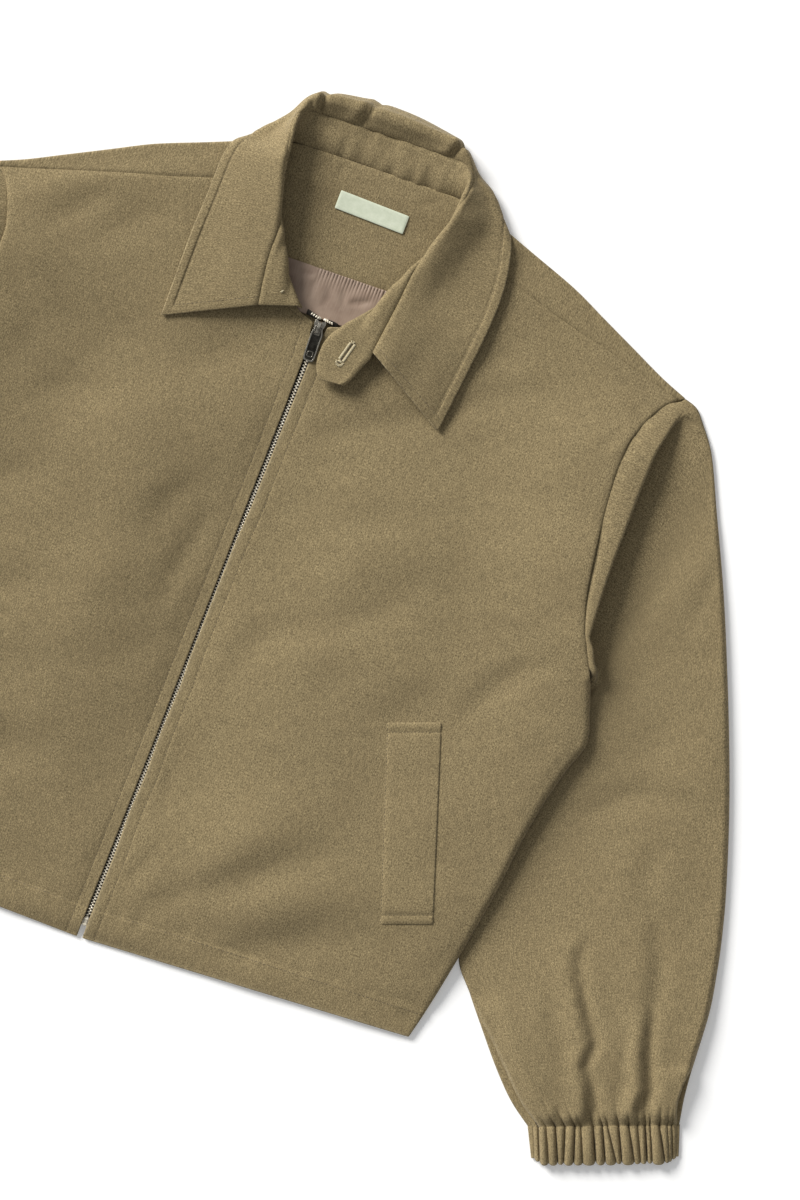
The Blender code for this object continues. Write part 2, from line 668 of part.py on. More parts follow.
def section_path(row):
    """The collar's section as places in (u, v, z): up from the neck seam to the roll, outward
    and down to rest, and under again where the leaf turns. Also how far along it turns."""
    neck, roll = Vector(row[0:3]), Vector(row[3:6])
    stand_az, leaf_az, turn, rest_z = row[6:10]
    across = Vector((math.cos(math.radians(stand_az)), math.sin(math.radians(stand_az)), 0))
    incoming = Vector((roll.x - neck.x, roll.y - neck.y, 0))
    incoming = incoming.normalized() if incoming.length > 3 else -across
    fold = (1 - incoming.dot(across)) / 2
    radius = min(ROLL_RADIUS, (roll.z - neck.z) / 2)

    path = [neck]
    for degrees in (0, 35, 65, 90, 115, 145, 180):
        angle = math.radians(degrees)
        way = across if degrees > 90 else -incoming
        path.append(roll + way * radius * (1 - math.sin(angle))
                    - Vector((0, 0, radius * fold * (1 + math.cos(angle)))))

    def outward(p, z):
        return Vector((roll.x + across.x * p, roll.y + across.y * p, z))

    low_z = COLLAR_CLOTH / 2
    bend = (rest_z - low_z) / 2
    lies_on = turn >= LIES_ON
    fall = 30.0 if lies_on else min(30.0, (turn - bend) * 0.8)
    if fall > radius + 2:
        path.append(outward(mix(radius, fall, 0.5), mix(roll.z, rest_z, 0.42)))
        path.append(outward(fall, mix(roll.z, rest_z, 0.92)))
    if lies_on:
        path += [outward(fall + 14, rest_z), outward(turn, rest_z)]
        return path, None
    path.append(outward(turn - bend, rest_z))
    turn_at = path_length(path)
    for degrees in (60, 30, 0, -30, -60, -90):
        angle = math.radians(degrees)
        path.append(outward(turn - bend + bend * math.cos(angle), low_z + bend + bend * math.sin(angle)))
    path.append(outward(turn - bend - 80, low_z))
    return path, (turn_at, math.pi * bend)


def path_length(path):
    return sum((second - first).length for first, second in zip(path, path[1:]))


def walk(path, distance):
    """The place at a distance along a path."""
    left = distance
    for first, second in zip(path, path[1:]):
        length = (second - first).length
        if left <= length and length > 0:
            return first.lerp(second, left / length)
        left -= length
    return path[-1]


def leaf_distances(stand_width, leaf_width, turned):
    """How far from its seam the leaf has points: as many before the turn in every section."""
    if turned is None:
        turn_at, end_stops = leaf_width - 6, [leaf_width - 4.5, leaf_width - 3, leaf_width]
    else:
        turn_at, bend = turned[0] - stand_width, turned[1]
        left = leaf_width - turn_at
        end_stops = [turn_at + min(bend * share, left * share) for share in (0.33, 0.67)]
        end_stops.append(leaf_width)
    start = COLLAR_SEAM / 2
    return [mix(start, turn_at, share) for share in LEAF_SHARES] + end_stops


def collar_section(row):
    """Places across the stand, and across the leaf, at one section."""
    stand_az, leaf_az = row[6:8]
    stand_width, leaf_width = row[10:12]
    path, turned = section_path(row)
    seam = walk(path, stand_width)
    swing = math.radians(leaf_az - stand_az)

    def leaf_place(distance):
        place = walk(path, stand_width + distance)
        du, dv = place.x - seam.x, place.y - seam.y
        return Vector((seam.x + du * math.cos(swing) - dv * math.sin(swing),
                       seam.y + du * math.sin(swing) + dv * math.cos(swing), place.z))

    stand = [walk(path, (stand_width - COLLAR_SEAM / 2) * share) for share in STAND_SHARES]
    leaf = [leaf_place(distance) for distance in leaf_distances(stand_width, leaf_width, turned)]
    return stand, leaf


def collar_lines():
    """Rows of places along the neck for the stand and for the leaf."""
    stands, leaves = [], []
    for row in COLLAR_ROWS:
        stand, leaf = collar_section(row)
        stands.append([number for place in stand for number in place])
        leaves.append([number for place in leaf for number in place])
    return spread(stands, COLLAR_COLUMNS), spread(leaves, COLLAR_COLUMNS)


def places_of(row):
    return [row[n:n + 3] for n in range(0, len(row), 3)]


def make_stand(stand_rows, finish):
    """The collar stand, its wearer's-left end drawn out into the buttonhole tab."""
    bm = bmesh.new()
    rows = [row_of(bm, [to_metres(*place) for place in places_of(row)]) for row in stand_rows]
    for zip_side_u, zip_side_v, outer_u, outer_v in TAB_ROWS:
        points = []
        for share in STAND_SHARES:
            points.append(to_metres(mix(zip_side_u, outer_u, share), mix(zip_side_v, outer_v, share), TAB_Z))
        rows.append(row_of(bm, points))
    skin_all(bm, rows)
    return finish_piece("collar_stand", bm, finish, COLLAR_CLOTH)


def make_leaf(leaf_rows, finish):
    """The collar leaf: over the fronts at both ends and turned under behind the neck."""
    bm = bmesh.new()
    rows = []
    for row in leaf_rows:
        places = [(u, v, max(z, LEAF_LOWEST)) for u, v, z in places_of(row)]
        rows.append(row_of(bm, [to_metres(*place) for place in places]))
    skin_all(bm, rows)
    return finish_piece("collar_leaf", bm, finish, COLLAR_CLOTH)


def make_button(finish):
    """The button, under the wearer's-right stand end."""
    bm = bmesh.new()
    u, v = BUTTON_MIDDLE
    bottom = front_z(RIGHT, zip_u(v) - u, v) + CLOTH / 2 + 0.35
    matrix_point = to_metres(u, v, bottom + BUTTON_HEIGHT / 2)
    bmesh.ops.create_cone(bm, cap_ends=True, segments=20, radius1=BUTTON_RADIUS * MM,
                          radius2=BUTTON_RADIUS * MM, depth=BUTTON_HEIGHT * MM)
    bmesh.ops.translate(bm, verts=bm.verts, vec=matrix_point)
    return finish_piece("collar_button", bm, finish)


# ---------------------------------------------------------------- facing, lining, label, welts

def make_facing(finish):
    """The back neck facing, made from the back's own points and moved up on to them."""
    bm = bmesh.new()
    shares = BACK_COLUMNS[:FACING_COLUMNS]
    columns = [(RIGHT, share) for share in reversed(shares)] + [(LEFT, share) for share in shares[1:]]
    rows = []
    for row_v in [v for v in BACK_ROW_V if v > FACING_FROM_V]:
        points = []
        for side, share in columns:
            h, v = back_point(share, row_v)
            points.append(on_side(side, h, v, back_z(side, h, v) + STACK))
        rows.append(row_of(bm, points))
    skin_all(bm, rows)
    return finish_piece("back_facing", bm, finish, CLOTH)


def make_lining(finish):
    """The lining where it shows between the facing and the top of the zip."""
    bm = bmesh.new()
    steps = 4
    rise = CLOTH / 2 + SEAM + LINING_CLOTH / 2
    rows = []
    for v, half in LINING_ROWS:
        points = []
        for n in range(-steps, steps + 1):
            side = LEFT if n >= 0 else RIGHT
            points.append(on_side(side, abs(half * n / steps), v, FLOOR_LAYER + rise))
        rows.append(row_of(bm, points))
    skin_all(bm, rows)
    return finish_piece("lining", bm, finish, LINING_CLOTH)


def make_label(finish):
    bm = bmesh.new()
    (u, v), (width, depth) = LABEL_MIDDLE, LABEL_SIZE
    cos_t, sin_t = math.cos(math.radians(LABEL_TILT)), math.sin(math.radians(LABEL_TILT))
    rise = STACK + CLOTH / 2 + SEAM + LABEL_CLOTH / 2
    rows = []
    for down in (0.5, 0.0, -0.5):
        points = []
        for across in (-0.5, -0.25, 0.0, 0.25, 0.5):
            place_u = u + across * width * cos_t - down * depth * sin_t
            place_v = v + across * width * sin_t + down * depth * cos_t
            h = place_u - zip_u(place_v)
            side = LEFT if h > 0 else RIGHT
            points.append(to_metres(place_u, place_v, back_z(side, abs(h), place_v) + rise))
        rows.append(row_of(bm, points))
    skin_all(bm, rows)
    return finish_piece("label", bm, finish, LABEL_CLOTH)


def make_welt(side, name, finish):
    """A pocket welt, lying on its front along the slant of the pocket mouth."""
    bm = bmesh.new()
    rows = []
    top_inner, top_outer, low_outer, low_inner = WELT_CORNERS
    for n in range(WELT_STEPS_LONG + 1):
        down = n / WELT_STEPS_LONG
        inner = [mix(a, b, down) for a, b in zip(top_inner, low_inner)]
        outer = [mix(a, b, down) for a, b in zip(top_outer, low_outer)]
        points = []
        for m in range(WELT_STEPS_WIDE + 1):
            u, v = (mix(a, b, m / WELT_STEPS_WIDE) for a, b in zip(inner, outer))
            h = u - zip_u(v)
            z = front_z(side, h, v) + CLOTH / 2 + WELT_RISE + WELT_CLOTH / 2
            points.append(on_side(side, h, v, z))
        rows.append(row_of(bm, points))
    skin_all(bm, rows)
    return finish_piece(name, bm, finish, WELT_CLOTH)


# ---------------------------------------------------------------- zip

def make_tape(side, name, finish):
    """A zip tape, under the front's edge and beside the chain."""
    bm = bmesh.new()
    rows = []
    steps = 14
    near = CHAIN_WIDTH / 2 + SEAM
    for n in range(steps + 1):
        v = mix(CHAIN_FOOT_V, CHAIN_TOP_V, n / steps)
        rows.append(row_of(bm, [on_side(side, h, v, TAPE_Z) for h in (near, near + TAPE_WIDTH)]))
    skin_all(bm, rows)
    return finish_piece(name, bm, finish, TAPE_CLOTH)


def zip_box(bm, h1, h2, v1, v2, z1, z2):
    """A box that follows the leaning zip line, with h negative on the wearer's right."""
    corners = []
    for z in (z1, z2):
        for h, v in ((h1, v1), (h2, v1), (h2, v2), (h1, v2)):
            corners.append(to_metres(zip_u(v) + h, v, z))
    add_box(bm, corners)


def make_chain(finish):
    bm = bmesh.new()
    half, low, high = CHAIN_WIDTH / 2, TAPE_Z - CHAIN_HEIGHT / 2, TAPE_Z + CHAIN_HEIGHT / 2
    zip_box(bm, -half, half, CHAIN_FOOT_V, CHAIN_TOP_V, low, high)
    bevel_all(bm, 0.3)
    return finish_piece("zip_chain", bm, finish)


def make_zip_bottom(finish):
    """The bottom stop that holds both tapes together."""
    bm = bmesh.new()
    zip_box(bm, -2.3, 2.3, ZIP_BOTTOM_V, CHAIN_FOOT_V - SEAM, TAPE_Z - 1.2, TAPE_Z + 1.3)
    bevel_all(bm, 0.3)
    return finish_piece("zip_bottom", bm, finish)


def make_top_stop(side, name, finish):
    """A top stop, past the slider where the tape ends turn out."""
    bm = bmesh.new()
    width, depth, height = STOP_SIZE
    foot = SLIDER_FOOT_V + SLIDER_LENGTH + SEAM
    near, far = sorted((side * 0.6, side * (0.6 + width)))
    zip_box(bm, near, far, foot, foot + depth, TAPE_Z, TAPE_Z + height)
    bevel_all(bm, 0.35)
    return finish_piece(name, bm, finish)


def make_slider(finish):
    """The slider body with the bridge that the pull hangs on."""
    low, high = SLIDER_Z
    foot, top = SLIDER_FOOT_V, SLIDER_FOOT_V + SLIDER_LENGTH
    body = bmesh.new()
    outline = [(0.30, 0.0), (0.34, 0.35), (0.5, 0.62), (0.5, 0.9), (0.42, 1.0)]
    loop = [(w, a) for w, a in outline] + [(-w, a) for w, a in reversed(outline)]
    for z in (low, high):
        row_of(body, [to_metres(zip_u(foot) + w * SLIDER_WIDTH, mix(foot, top, a), z) for w, a in loop])
    body.verts.ensure_lookup_table()
    count = len(loop)
    lower, upper = body.verts[:count], body.verts[count:]
    body.faces.new(list(reversed(lower)))
    body.faces.new(upper)
    skin(body, lower, upper, closed=True)
    bmesh.ops.recalc_face_normals(body, faces=body.faces)
    bevel_all(body, 0.35)
    slider = finish_piece("zip_slider", body, finish)

    bridge = bmesh.new()
    profile = [(0.7, high - 0.6), (0.7, 7.3), (2.0, BRIDGE_TOP_Z), (8.6, BRIDGE_TOP_Z), (10.0, 7.2),
               (10.0, high - 0.6), (10.0 - BRIDGE_WALL, high - 0.6), (10.0 - BRIDGE_WALL, 6.9),
               (8.3, BRIDGE_TOP_Z - BRIDGE_WALL), (2.4, BRIDGE_TOP_Z - BRIDGE_WALL),
               (0.7 + BRIDGE_WALL, 6.9), (0.7 + BRIDGE_WALL, high - 0.6)]
    sides = []
    for across in (-BRIDGE_WIDTH / 2, BRIDGE_WIDTH / 2):
        sides.append(row_of(bridge, [to_metres(zip_u(foot) + across, foot + a, z) for a, z in profile]))
    bridge.faces.new(sides[0])
    bridge.faces.new(list(reversed(sides[1])))
    skin(bridge, sides[0], sides[1], closed=True)
    bmesh.ops.recalc_face_normals(bridge, faces=bridge.faces)
    cutter = finish_piece("zip_slider_bridge", bridge, finish)
    cutter.hide_render = True
    cutter.display_type = "WIRE"
    union = slider.modifiers.new("Bridge", "BOOLEAN")
    union.operation = "UNION"
    union.object = cutter
    return slider


def make_pull(finish):
    """The pull tab: a plate with an eye whose end bar hangs under the slider's bridge."""
    axis = to_metres(zip_u(PULL_AXIS_V), PULL_AXIS_V, PULL_AXIS_Z)
    bm = bmesh.new()
    half_w, half_t = PULL_WIDTH / 2 * MM, PULL_HEIGHT / 2 * MM
    eye_l, eye_w = PULL_EYE
    start, bar = PULL_BAR / 2 * MM, PULL_BAR / 2 * MM + eye_l * MM
    neck = (eye_w / 2 + 1.3) * MM
    end = PULL_LENGTH * MM
    outer = [(-neck, start), (-neck, -bar), (-half_w, -bar - 2.4 * MM), (-half_w, -end + 1.2 * MM),
             (-half_w + 1.2 * MM, -end), (half_w - 1.2 * MM, -end), (half_w, -end + 1.2 * MM),
             (half_w, -bar - 2.4 * MM), (neck, -bar), (neck, start)]
    rows = [row_of(bm, [(x, y, z) for x, y in outer]) for z in (-half_t, half_t)]
    bm.faces.new(list(reversed(rows[0])))
    bm.faces.new(rows[1])
    skin(bm, rows[0], rows[1], closed=True)
    bmesh.ops.recalc_face_normals(bm, faces=bm.faces)
    bevel_all(bm, 0.25)
    pull = finish_piece("zip_pull", bm, finish)
    pull.location = axis

    hole = bmesh.new()
    bmesh.ops.create_cube(hole, size=1.0)
    bmesh.ops.scale(hole, vec=(eye_w * MM, eye_l * MM, 6 * MM), verts=hole.verts)
    cutter = finish_piece("zip_pull_eye", hole, finish)
    cutter.location = axis + Vector((0, -start - eye_l * MM / 2, 0))
    cutter.hide_render = True
    cutter.display_type = "WIRE"
    eye = pull.modifiers.new("Eye", "BOOLEAN")
    eye.operation = "DIFFERENCE"
    eye.object = cutter
    return pull


# ---------------------------------------------------------------- assembly

def clear_scene():
    for item in list(bpy.data.objects):
        bpy.data.objects.remove(item, do_unlink=True)


def build():
    clear_scene()
    twill = make_finish("khaki_twill", (0.27, 0.21, 0.125), 0.9)
    satin = make_finish("lining_satin", (0.36, 0.28, 0.235), 0.55)
    tape_weave = make_finish("zip_tape", (0.2, 0.165, 0.11), 0.85)
    label_weave = make_finish("label_weave", (0.7, 0.76, 0.62), 0.7)
    dark_metal = make_finish("gunmetal", (0.09, 0.09, 0.085), 0.35, 1.0)
    bright_metal = make_finish("nickel", (0.62, 0.6, 0.55), 0.3, 1.0)
    horn = make_finish("button_horn", (0.12, 0.09, 0.06), 0.4)

    make_back(twill)
    for side, word in ((LEFT, "left"), (RIGHT, "right")):
        make_front(side, f"front_{word}", twill)
        make_sleeve(side, f"sleeve_{word}", twill)
        make_cuff(side, f"cuff_{word}", twill)
        make_welt(side, f"welt_{word}", twill)
        make_tape(side, f"zip_tape_{word}", tape_weave)
        make_top_stop(side, f"zip_stop_{word}", bright_metal)
    stand_rows, leaf_rows = collar_lines()
    make_stand(stand_rows, twill)
    make_leaf(leaf_rows, twill)
    make_button(horn)
    make_facing(twill)
    make_lining(satin)
    make_label(label_weave)
    make_chain(bright_metal)
    make_zip_bottom(bright_metal)
    make_slider(dark_metal)
    make_pull(dark_metal)


build()
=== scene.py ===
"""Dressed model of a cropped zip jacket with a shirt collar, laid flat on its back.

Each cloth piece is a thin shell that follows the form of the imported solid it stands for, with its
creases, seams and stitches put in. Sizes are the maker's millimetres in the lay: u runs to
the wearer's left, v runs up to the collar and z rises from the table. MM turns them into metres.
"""

import logging
import math
from dataclasses import dataclass, field
from enum import Enum
from typing import Callable, Iterable, Optional, Sequence

import bpy
import numpy as np
from mathutils import Matrix, Vector


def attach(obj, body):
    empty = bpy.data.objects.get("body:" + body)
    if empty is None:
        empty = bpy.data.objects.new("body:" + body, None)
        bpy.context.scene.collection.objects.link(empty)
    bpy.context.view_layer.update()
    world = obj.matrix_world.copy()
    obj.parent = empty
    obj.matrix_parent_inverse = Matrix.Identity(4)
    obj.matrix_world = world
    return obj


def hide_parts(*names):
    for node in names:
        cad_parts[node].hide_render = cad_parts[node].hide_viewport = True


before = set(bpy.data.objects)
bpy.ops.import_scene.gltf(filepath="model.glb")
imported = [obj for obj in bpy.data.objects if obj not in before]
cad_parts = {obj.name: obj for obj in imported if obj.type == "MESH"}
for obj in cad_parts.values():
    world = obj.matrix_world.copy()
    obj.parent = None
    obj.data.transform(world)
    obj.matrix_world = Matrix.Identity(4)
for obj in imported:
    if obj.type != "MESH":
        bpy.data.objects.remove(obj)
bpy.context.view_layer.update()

LOG = logging.getLogger("jacket")
MM = 0.001
Array = np.ndarray
Material = bpy.types.Material
Piece = bpy.types.Object
Socket = bpy.types.NodeSocket
ACROSS, UP = np.array([1.0, 0.0, 0.0]), np.array([0.0, 0.0, 1.0])


class Side(Enum):
    """The wearer's sides; the value is the way that u runs from the zip."""

    LEFT = 1
    RIGHT = -1

    @property
    def word(self) -> str:
        """The side's name as it stands in node names."""
        return self.name.lower()


# ---------------------------------------------------------------- curves and noise


def ease(value: Array) -> Array:
    """0 to 1 with level ends."""
    x = np.clip(value, 0.0, 1.0)
    return x * x * (3 - 2 * x)


def mix(a: Array, b: Array, share: Array) -> Array:
    """Straight blend from a to b."""
    return a + (b - a) * share


def bump(distance: Array, width: float) -> Array:
    """1 at no distance, fading over the width."""
    return np.exp(-((distance / width) ** 2))


def rounded(distance: Array, reach: float = 5.0) -> Array:
    """0 at a turned edge, rising to 1 on the round of its turn."""
    return np.sqrt(1 - np.clip(1 - distance / reach, 0, 1) ** 2)


def hermite(t: Array, start: Array, end: Array, leave: Array, arrive: Array) -> Array:
    """Cubic from start to end that leaves and arrives at given slopes."""
    return ((2 * t**3 - 3 * t**2 + 1) * start + (t**3 - 2 * t**2 + t) * leave
            + (3 * t**2 - 2 * t**3) * end + (t**3 - t**2) * arrive)


def through_rows(places: Array, rows: Array, at: Array) -> Array:
    """Smooth curve through rows of numbers that never swings past them.

    Args:
        places: where each row stands, rising.
        rows: the rows, along the first axis.
        at: places to read, kept within the first and last.

    Returns:
        One row of numbers for each place read.
    """
    places = np.asarray(places, float)
    rows = np.asarray(rows, float)
    at = np.clip(np.asarray(at, float), places[0], places[-1])
    gaps = np.diff(places).reshape((-1,) + (1,) * (rows.ndim - 1))
    slopes = np.diff(rows, axis=0) / gaps
    tangents = np.zeros_like(rows)
    tangents[0], tangents[-1] = slopes[0], slopes[-1]
    before, after = slopes[:-1], slopes[1:]
    same_way = before * after > 0
    weight_a, weight_b = 2 * gaps[1:] + gaps[:-1], gaps[1:] + 2 * gaps[:-1]
    safe_a = np.where(same_way, before, 1.0)
    safe_b = np.where(same_way, after, 1.0)
    level = (weight_a + weight_b) / (weight_a / safe_a + weight_b / safe_b)
    tangents[1:-1] = np.where(same_way, level, 0.0)
    index = np.clip(np.searchsorted(places, at, side="right") - 1, 0, len(places) - 2)
    width = (places[index + 1] - places[index]).reshape(index.shape + (1,) * (rows.ndim - 1))
    t = (at - places[index]).reshape(width.shape) / width
    leave, arrive = width * tangents[index], width * tangents[index + 1]
    return hermite(t, rows[index], rows[index + 1], leave, arrive)


def even_rows(rows: Array, count: int) -> Array:
    """Smooth curve through evenly placed rows of numbers.

    Args:
        rows: the rows, along the first axis.
        count: how many rows to return.

    Returns:
        The rows along the curve, ends included.
    """
    rows = np.asarray(rows, float)
    last = len(rows) - 1
    place = np.linspace(0, last, count)
    index = np.minimum(place.astype(int), last - 1)
    t = (place - index).reshape((-1,) + (1,) * (rows.ndim - 1))
    p0, p1 = rows[np.maximum(index - 1, 0)], rows[index]
    p2, p3 = rows[index + 1], rows[np.minimum(index + 2, last)]
    return hermite(t, p1, p2, (p2 - p0) / 2, (p3 - p1) / 2)


class Curve:
    """A smooth curve through a short table whose first column rises."""

    def __init__(self, *rows: tuple) -> None:
        """Keep the table's two columns."""
        self.places = np.array([row[0] for row in rows], float)
        self.values = np.array([row[1] for row in rows], float)

    def __call__(self, at: Array) -> Array:
        """The second column at a value of the first."""
        return through_rows(self.places, self.values, at)


def stations(start: float, end: float, step: float, near: Sequence[tuple] = ()) -> Array:
    """Even places from start to end, with finer ones put in.

    Args:
        start: the first place.
        end: the last place.
        step: the most that even places stand apart.
        near: (place, offsets) where finer places are wanted.

    Returns:
        The places in rising order.
    """
    even = np.linspace(start, end, max(2, int(math.ceil((end - start) / step)) + 1))
    fine = [place + offset for place, offsets in near for offset in offsets]
    fine = np.array(sorted(p for p in fine if start < p < end))
    if len(fine) == 0:
        return even
    keep = [p for p in even if np.min(np.abs(fine - p)) > step * 0.3 or p in (start, end)]
    return np.array(sorted(set(keep) | set(fine)))


class SoftNoise:
    """Smooth noise from a seeded sheet of random heights."""

    def __init__(self, seed: int, cells: int = 64) -> None:
        """Draw the sheet of heights."""
        self.cells = cells
        self.heights = np.random.default_rng(seed).uniform(-1, 1, (cells, cells))

    def __call__(self, u: Array, v: Array, length: float, width: Optional[float] = None,
                 turn: float = 0.0) -> Array:
        """Read the noise.

        Args:
            u: places across, in mm.
            v: places along, in mm.
            length: the size of its lumps along the turned direction, in mm.
            width: their size across it, the same where it isn't given.
            turn: the direction, in degrees from u.

        Returns:
            Heights from about -1 to 1.
        """
        c, s = math.cos(math.radians(turn)), math.sin(math.radians(turn))
        x = (u * c + v * s) / length + 7.3
        y = (-u * s + v * c) / (width or length) + 3.1
        column, row = np.floor(x), np.floor(y)
        fx, fy = ease(x - column), ease(y - row)
        i, j = column.astype(int) % self.cells, row.astype(int) % self.cells
        i2, j2 = (i + 1) % self.cells, (j + 1) % self.cells
        low = mix(self.heights[i, j], self.heights[i2, j], fx)
        high = mix(self.heights[i, j2], self.heights[i2, j2], fx)
        return mix(low, high, fy)


@dataclass(frozen=True)
class Crease:
    """A soft trough along a bent line in the lay, or a ridge where its depth is negative."""

    line: tuple
    width: float
    depth: float
    lean: float = 0.0
    lip: float = 0.5

    def height(self, u: Array, v: Array) -> Array:
        """The crease's height at places in the lay.

        Args:
            u: places across the lay.
            v: places up the lay.

        Returns:
            Heights to add, in mm.
        """
        points = np.array(self.line, float)
        runs = np.hypot(*np.diff(points, axis=0).T)
        best = np.full(np.shape(u), 1e9)
        signed, along = np.zeros(np.shape(u)), np.zeros(np.shape(u))
        walked = 0.0
        for start, end, run in zip(points, points[1:], runs):
            way = (end - start) / run
            du, dv = u - start[0], v - start[1]
            share = np.clip((du * way[0] + dv * way[1]) / run, 0, 1)
            off_u, off_v = du - share * run * way[0], dv - share * run * way[1]
            distance = np.hypot(off_u, off_v)
            nearer = distance < best
            best = np.where(nearer, distance, best)
            signed = np.where(nearer, np.sign(du * way[1] - dv * way[0]) * distance, signed)
            along = np.where(nearer, (walked + share * run) / runs.sum(), along)
            walked += run
        taper = np.sin(np.pi * np.clip(along, 0.0, 1.0)) ** 0.8
        q = signed / (self.width * (0.75 + 0.25 * taper))
        shape = self.lip * bump(q - 1.7 * self.lean, 1.9) - bump(q, 1.0)
        return self.depth * taper * shape


# ---------------------------------------------------------------- the lay


@dataclass(frozen=True)
class Lay:
    """Where the garment lies and how high each layer of it stands, in mm."""

    middle_u: float = -4.7
    middle_v: float = 284.6
    zip_foot_u: float = -15.0
    zip_lean: float = 0.0435
    right_width: float = 0.99
    cloth: float = 1.4
    seam: float = 0.3
    turn: float = 1.2
    sleeve_lift: float = 7.0
    head_lift: float = 9.4
    neck_lift: float = 2.4
    body_fill: float = 2.7
    middle_fill: float = 4.6
    zip_fill: float = 1.95
    hem_drop: float = 1.2
    side_top_v: float = 282.0
    tip_v: float = 498.4
    hem_outer_v: float = -1.5
    hem_inner_v: float = -10.8
    back_shorter: float = 12.5
    neck_half_width: float = 88.0
    neck_top_v: float = 581.4
    neck_ramp: tuple = (545.2, 565.5)
    side_edge: Curve = Curve((-2, 232), (11, 235.5), (34, 241), (62, 247), (92, 253), (124, 258.6),
                             (158, 263), (190, 269.3), (218, 277), (241, 284.5), (262, 279), (282, 272.5))
    armhole: Curve = Curve((282, 272.5), (292, 268), (303, 262.3), (320, 255), (344, 249),
                           (372, 245.3), (401, 242.4), (430, 241), (452, 242.3), (468, 247.4),
                           (480, 253), (490, 260), (498.4, 270.5))
    back_armhole: Curve = Curve((282, 272.5), (303, 267), (344, 257.5), (401, 253), (452, 255),
                                (485, 263), (498.4, 270.5))
    fold_edge: Curve = Curve((282, 274.2), (290, 273.8), (297, 270), (305, 266.5), (313, 261),
                             (330, 260), (360, 259.5), (401, 260.8), (430, 262), (452, 263.5),
                             (468, 267), (485, 271), (498.4, 275))
    fold_depth: Curve = Curve((282, -2), (292, -1), (303, 1), (320, 7), (401, 11), (452, 10),
                              (468, 4), (480, -1), (490, -5), (498.4, -8))
    sleeve_inner: Curve = Curve((65, 248), (104, 244), (138, 244.5), (172, 248), (206, 254),
                                (232, 262), (250, 270), (266, 276))
    shoulder: Curve = Curve((70, 579.5), (98, 575), (113, 569), (142, 558), (170, 547), (198, 533),
                            (226, 519), (253, 505.6), (270.5, 498.4))
    right_tuck: Curve = Curve((-36, 16), (18, 14), (65, 11), (104, 8.5), (138, 6.2), (172, 4.2),
                              (206, 2.4), (232, 1), (258, 0))

    @property
    def floor_layer(self) -> float:
        """Middle of a layer that lies on the table."""
        return self.cloth / 2

    @property
    def stack(self) -> float:
        """From one layer's middle to the next."""
        return self.cloth + self.seam

    def zip_u(self, v: Array) -> Array:
        """Where the slightly leaning zip line stands."""
        return self.zip_foot_u + self.zip_lean * v

    def world(self, u: Array, v: Array, z: Array) -> Array:
        """Places in the lay as points in metres."""
        u, v, z = np.broadcast_arrays(u, v, z)
        return np.stack([(u - self.middle_u) * MM, (v - self.middle_v) * MM, z * MM], axis=-1)

    def side_u(self, side: Side, h: Array, v: Array, tuck: Array = 0.0) -> Array:
        """u of a place h from the zip line; tuck draws it back to the body."""
        width = 1.0 if side is Side.LEFT else self.right_width
        return self.zip_u(v) + side.value * (h * width - tuck)

    def on_side(self, side: Side, h: Array, v: Array, z: Array, tuck: Array = 0.0) -> Array:
        """Points in metres for places h from the zip line."""
        return self.world(self.side_u(side, h, v, tuck), v, z)

    def edge_h(self, edge: Curve, v: Array) -> Array:
        """h of an edge that is tabled as the wearer's left u."""
        return edge(v) - self.zip_u(v)

    def shoulder_v(self, h: Array) -> Array:
        """Where the shoulder fold crosses h."""
        u = np.asarray(h, float)
        for _ in range(3):
            u = h + self.zip_u(self.shoulder(u))
        return self.shoulder(u)

    def tuck(self, side: Side, v: Array) -> Array:
        """How far the sleeve's inner edge is drawn back to the body."""
        return np.zeros(np.shape(v)) if side is Side.LEFT else self.right_tuck(v)

    def from_side(self, h: Array, v: Array) -> Array:
        """How far a place lies inside the side seam, measured past its top end as well."""
        capped = np.minimum(v, self.side_top_v)
        return np.hypot(np.maximum(0.0, v - self.side_top_v), self.edge_h(self.side_edge, capped) - h)

    def over_sleeve(self, side: Side, h: Array, v: Array, lead: float, run: float) -> Array:
        """How far the body is raised on a sleeve, by a slope of some run that starts ahead of it.

        Args:
            side: the wearer's side.
            h: places from the zip line.
            v: places up the lay.
            lead: how far ahead of the sleeve the slope starts, in mm.
            run: the length of the slope, in mm.

        Returns:
            Heights in mm.
        """
        near = ease((h - self.edge_h(self.sleeve_inner, v) + self.tuck(side, v) + lead) / run)
        along = ease((340 - v) / 70) * ease((v - 12) / 22) * (0.25 + 0.75 * ease((v - 20) / 190))
        return self.sleeve_lift * near * along

    def back_z(self, side: Side, h: Array, v: Array) -> Array:
        """Middle of the back: on the table, but raised on the sleeves and the neck seam.

        Args:
            side: the wearer's side.
            h: places from the zip line.
            v: places up the lay.

        Returns:
            Heights in mm.
        """
        low, high = self.neck_ramp
        at_neck = ease((v - low) / (high - low)) * ease((128 - h) / 24)
        return self.floor_layer + self.over_sleeve(side, h, v, 30, 17) + self.neck_lift * at_neck

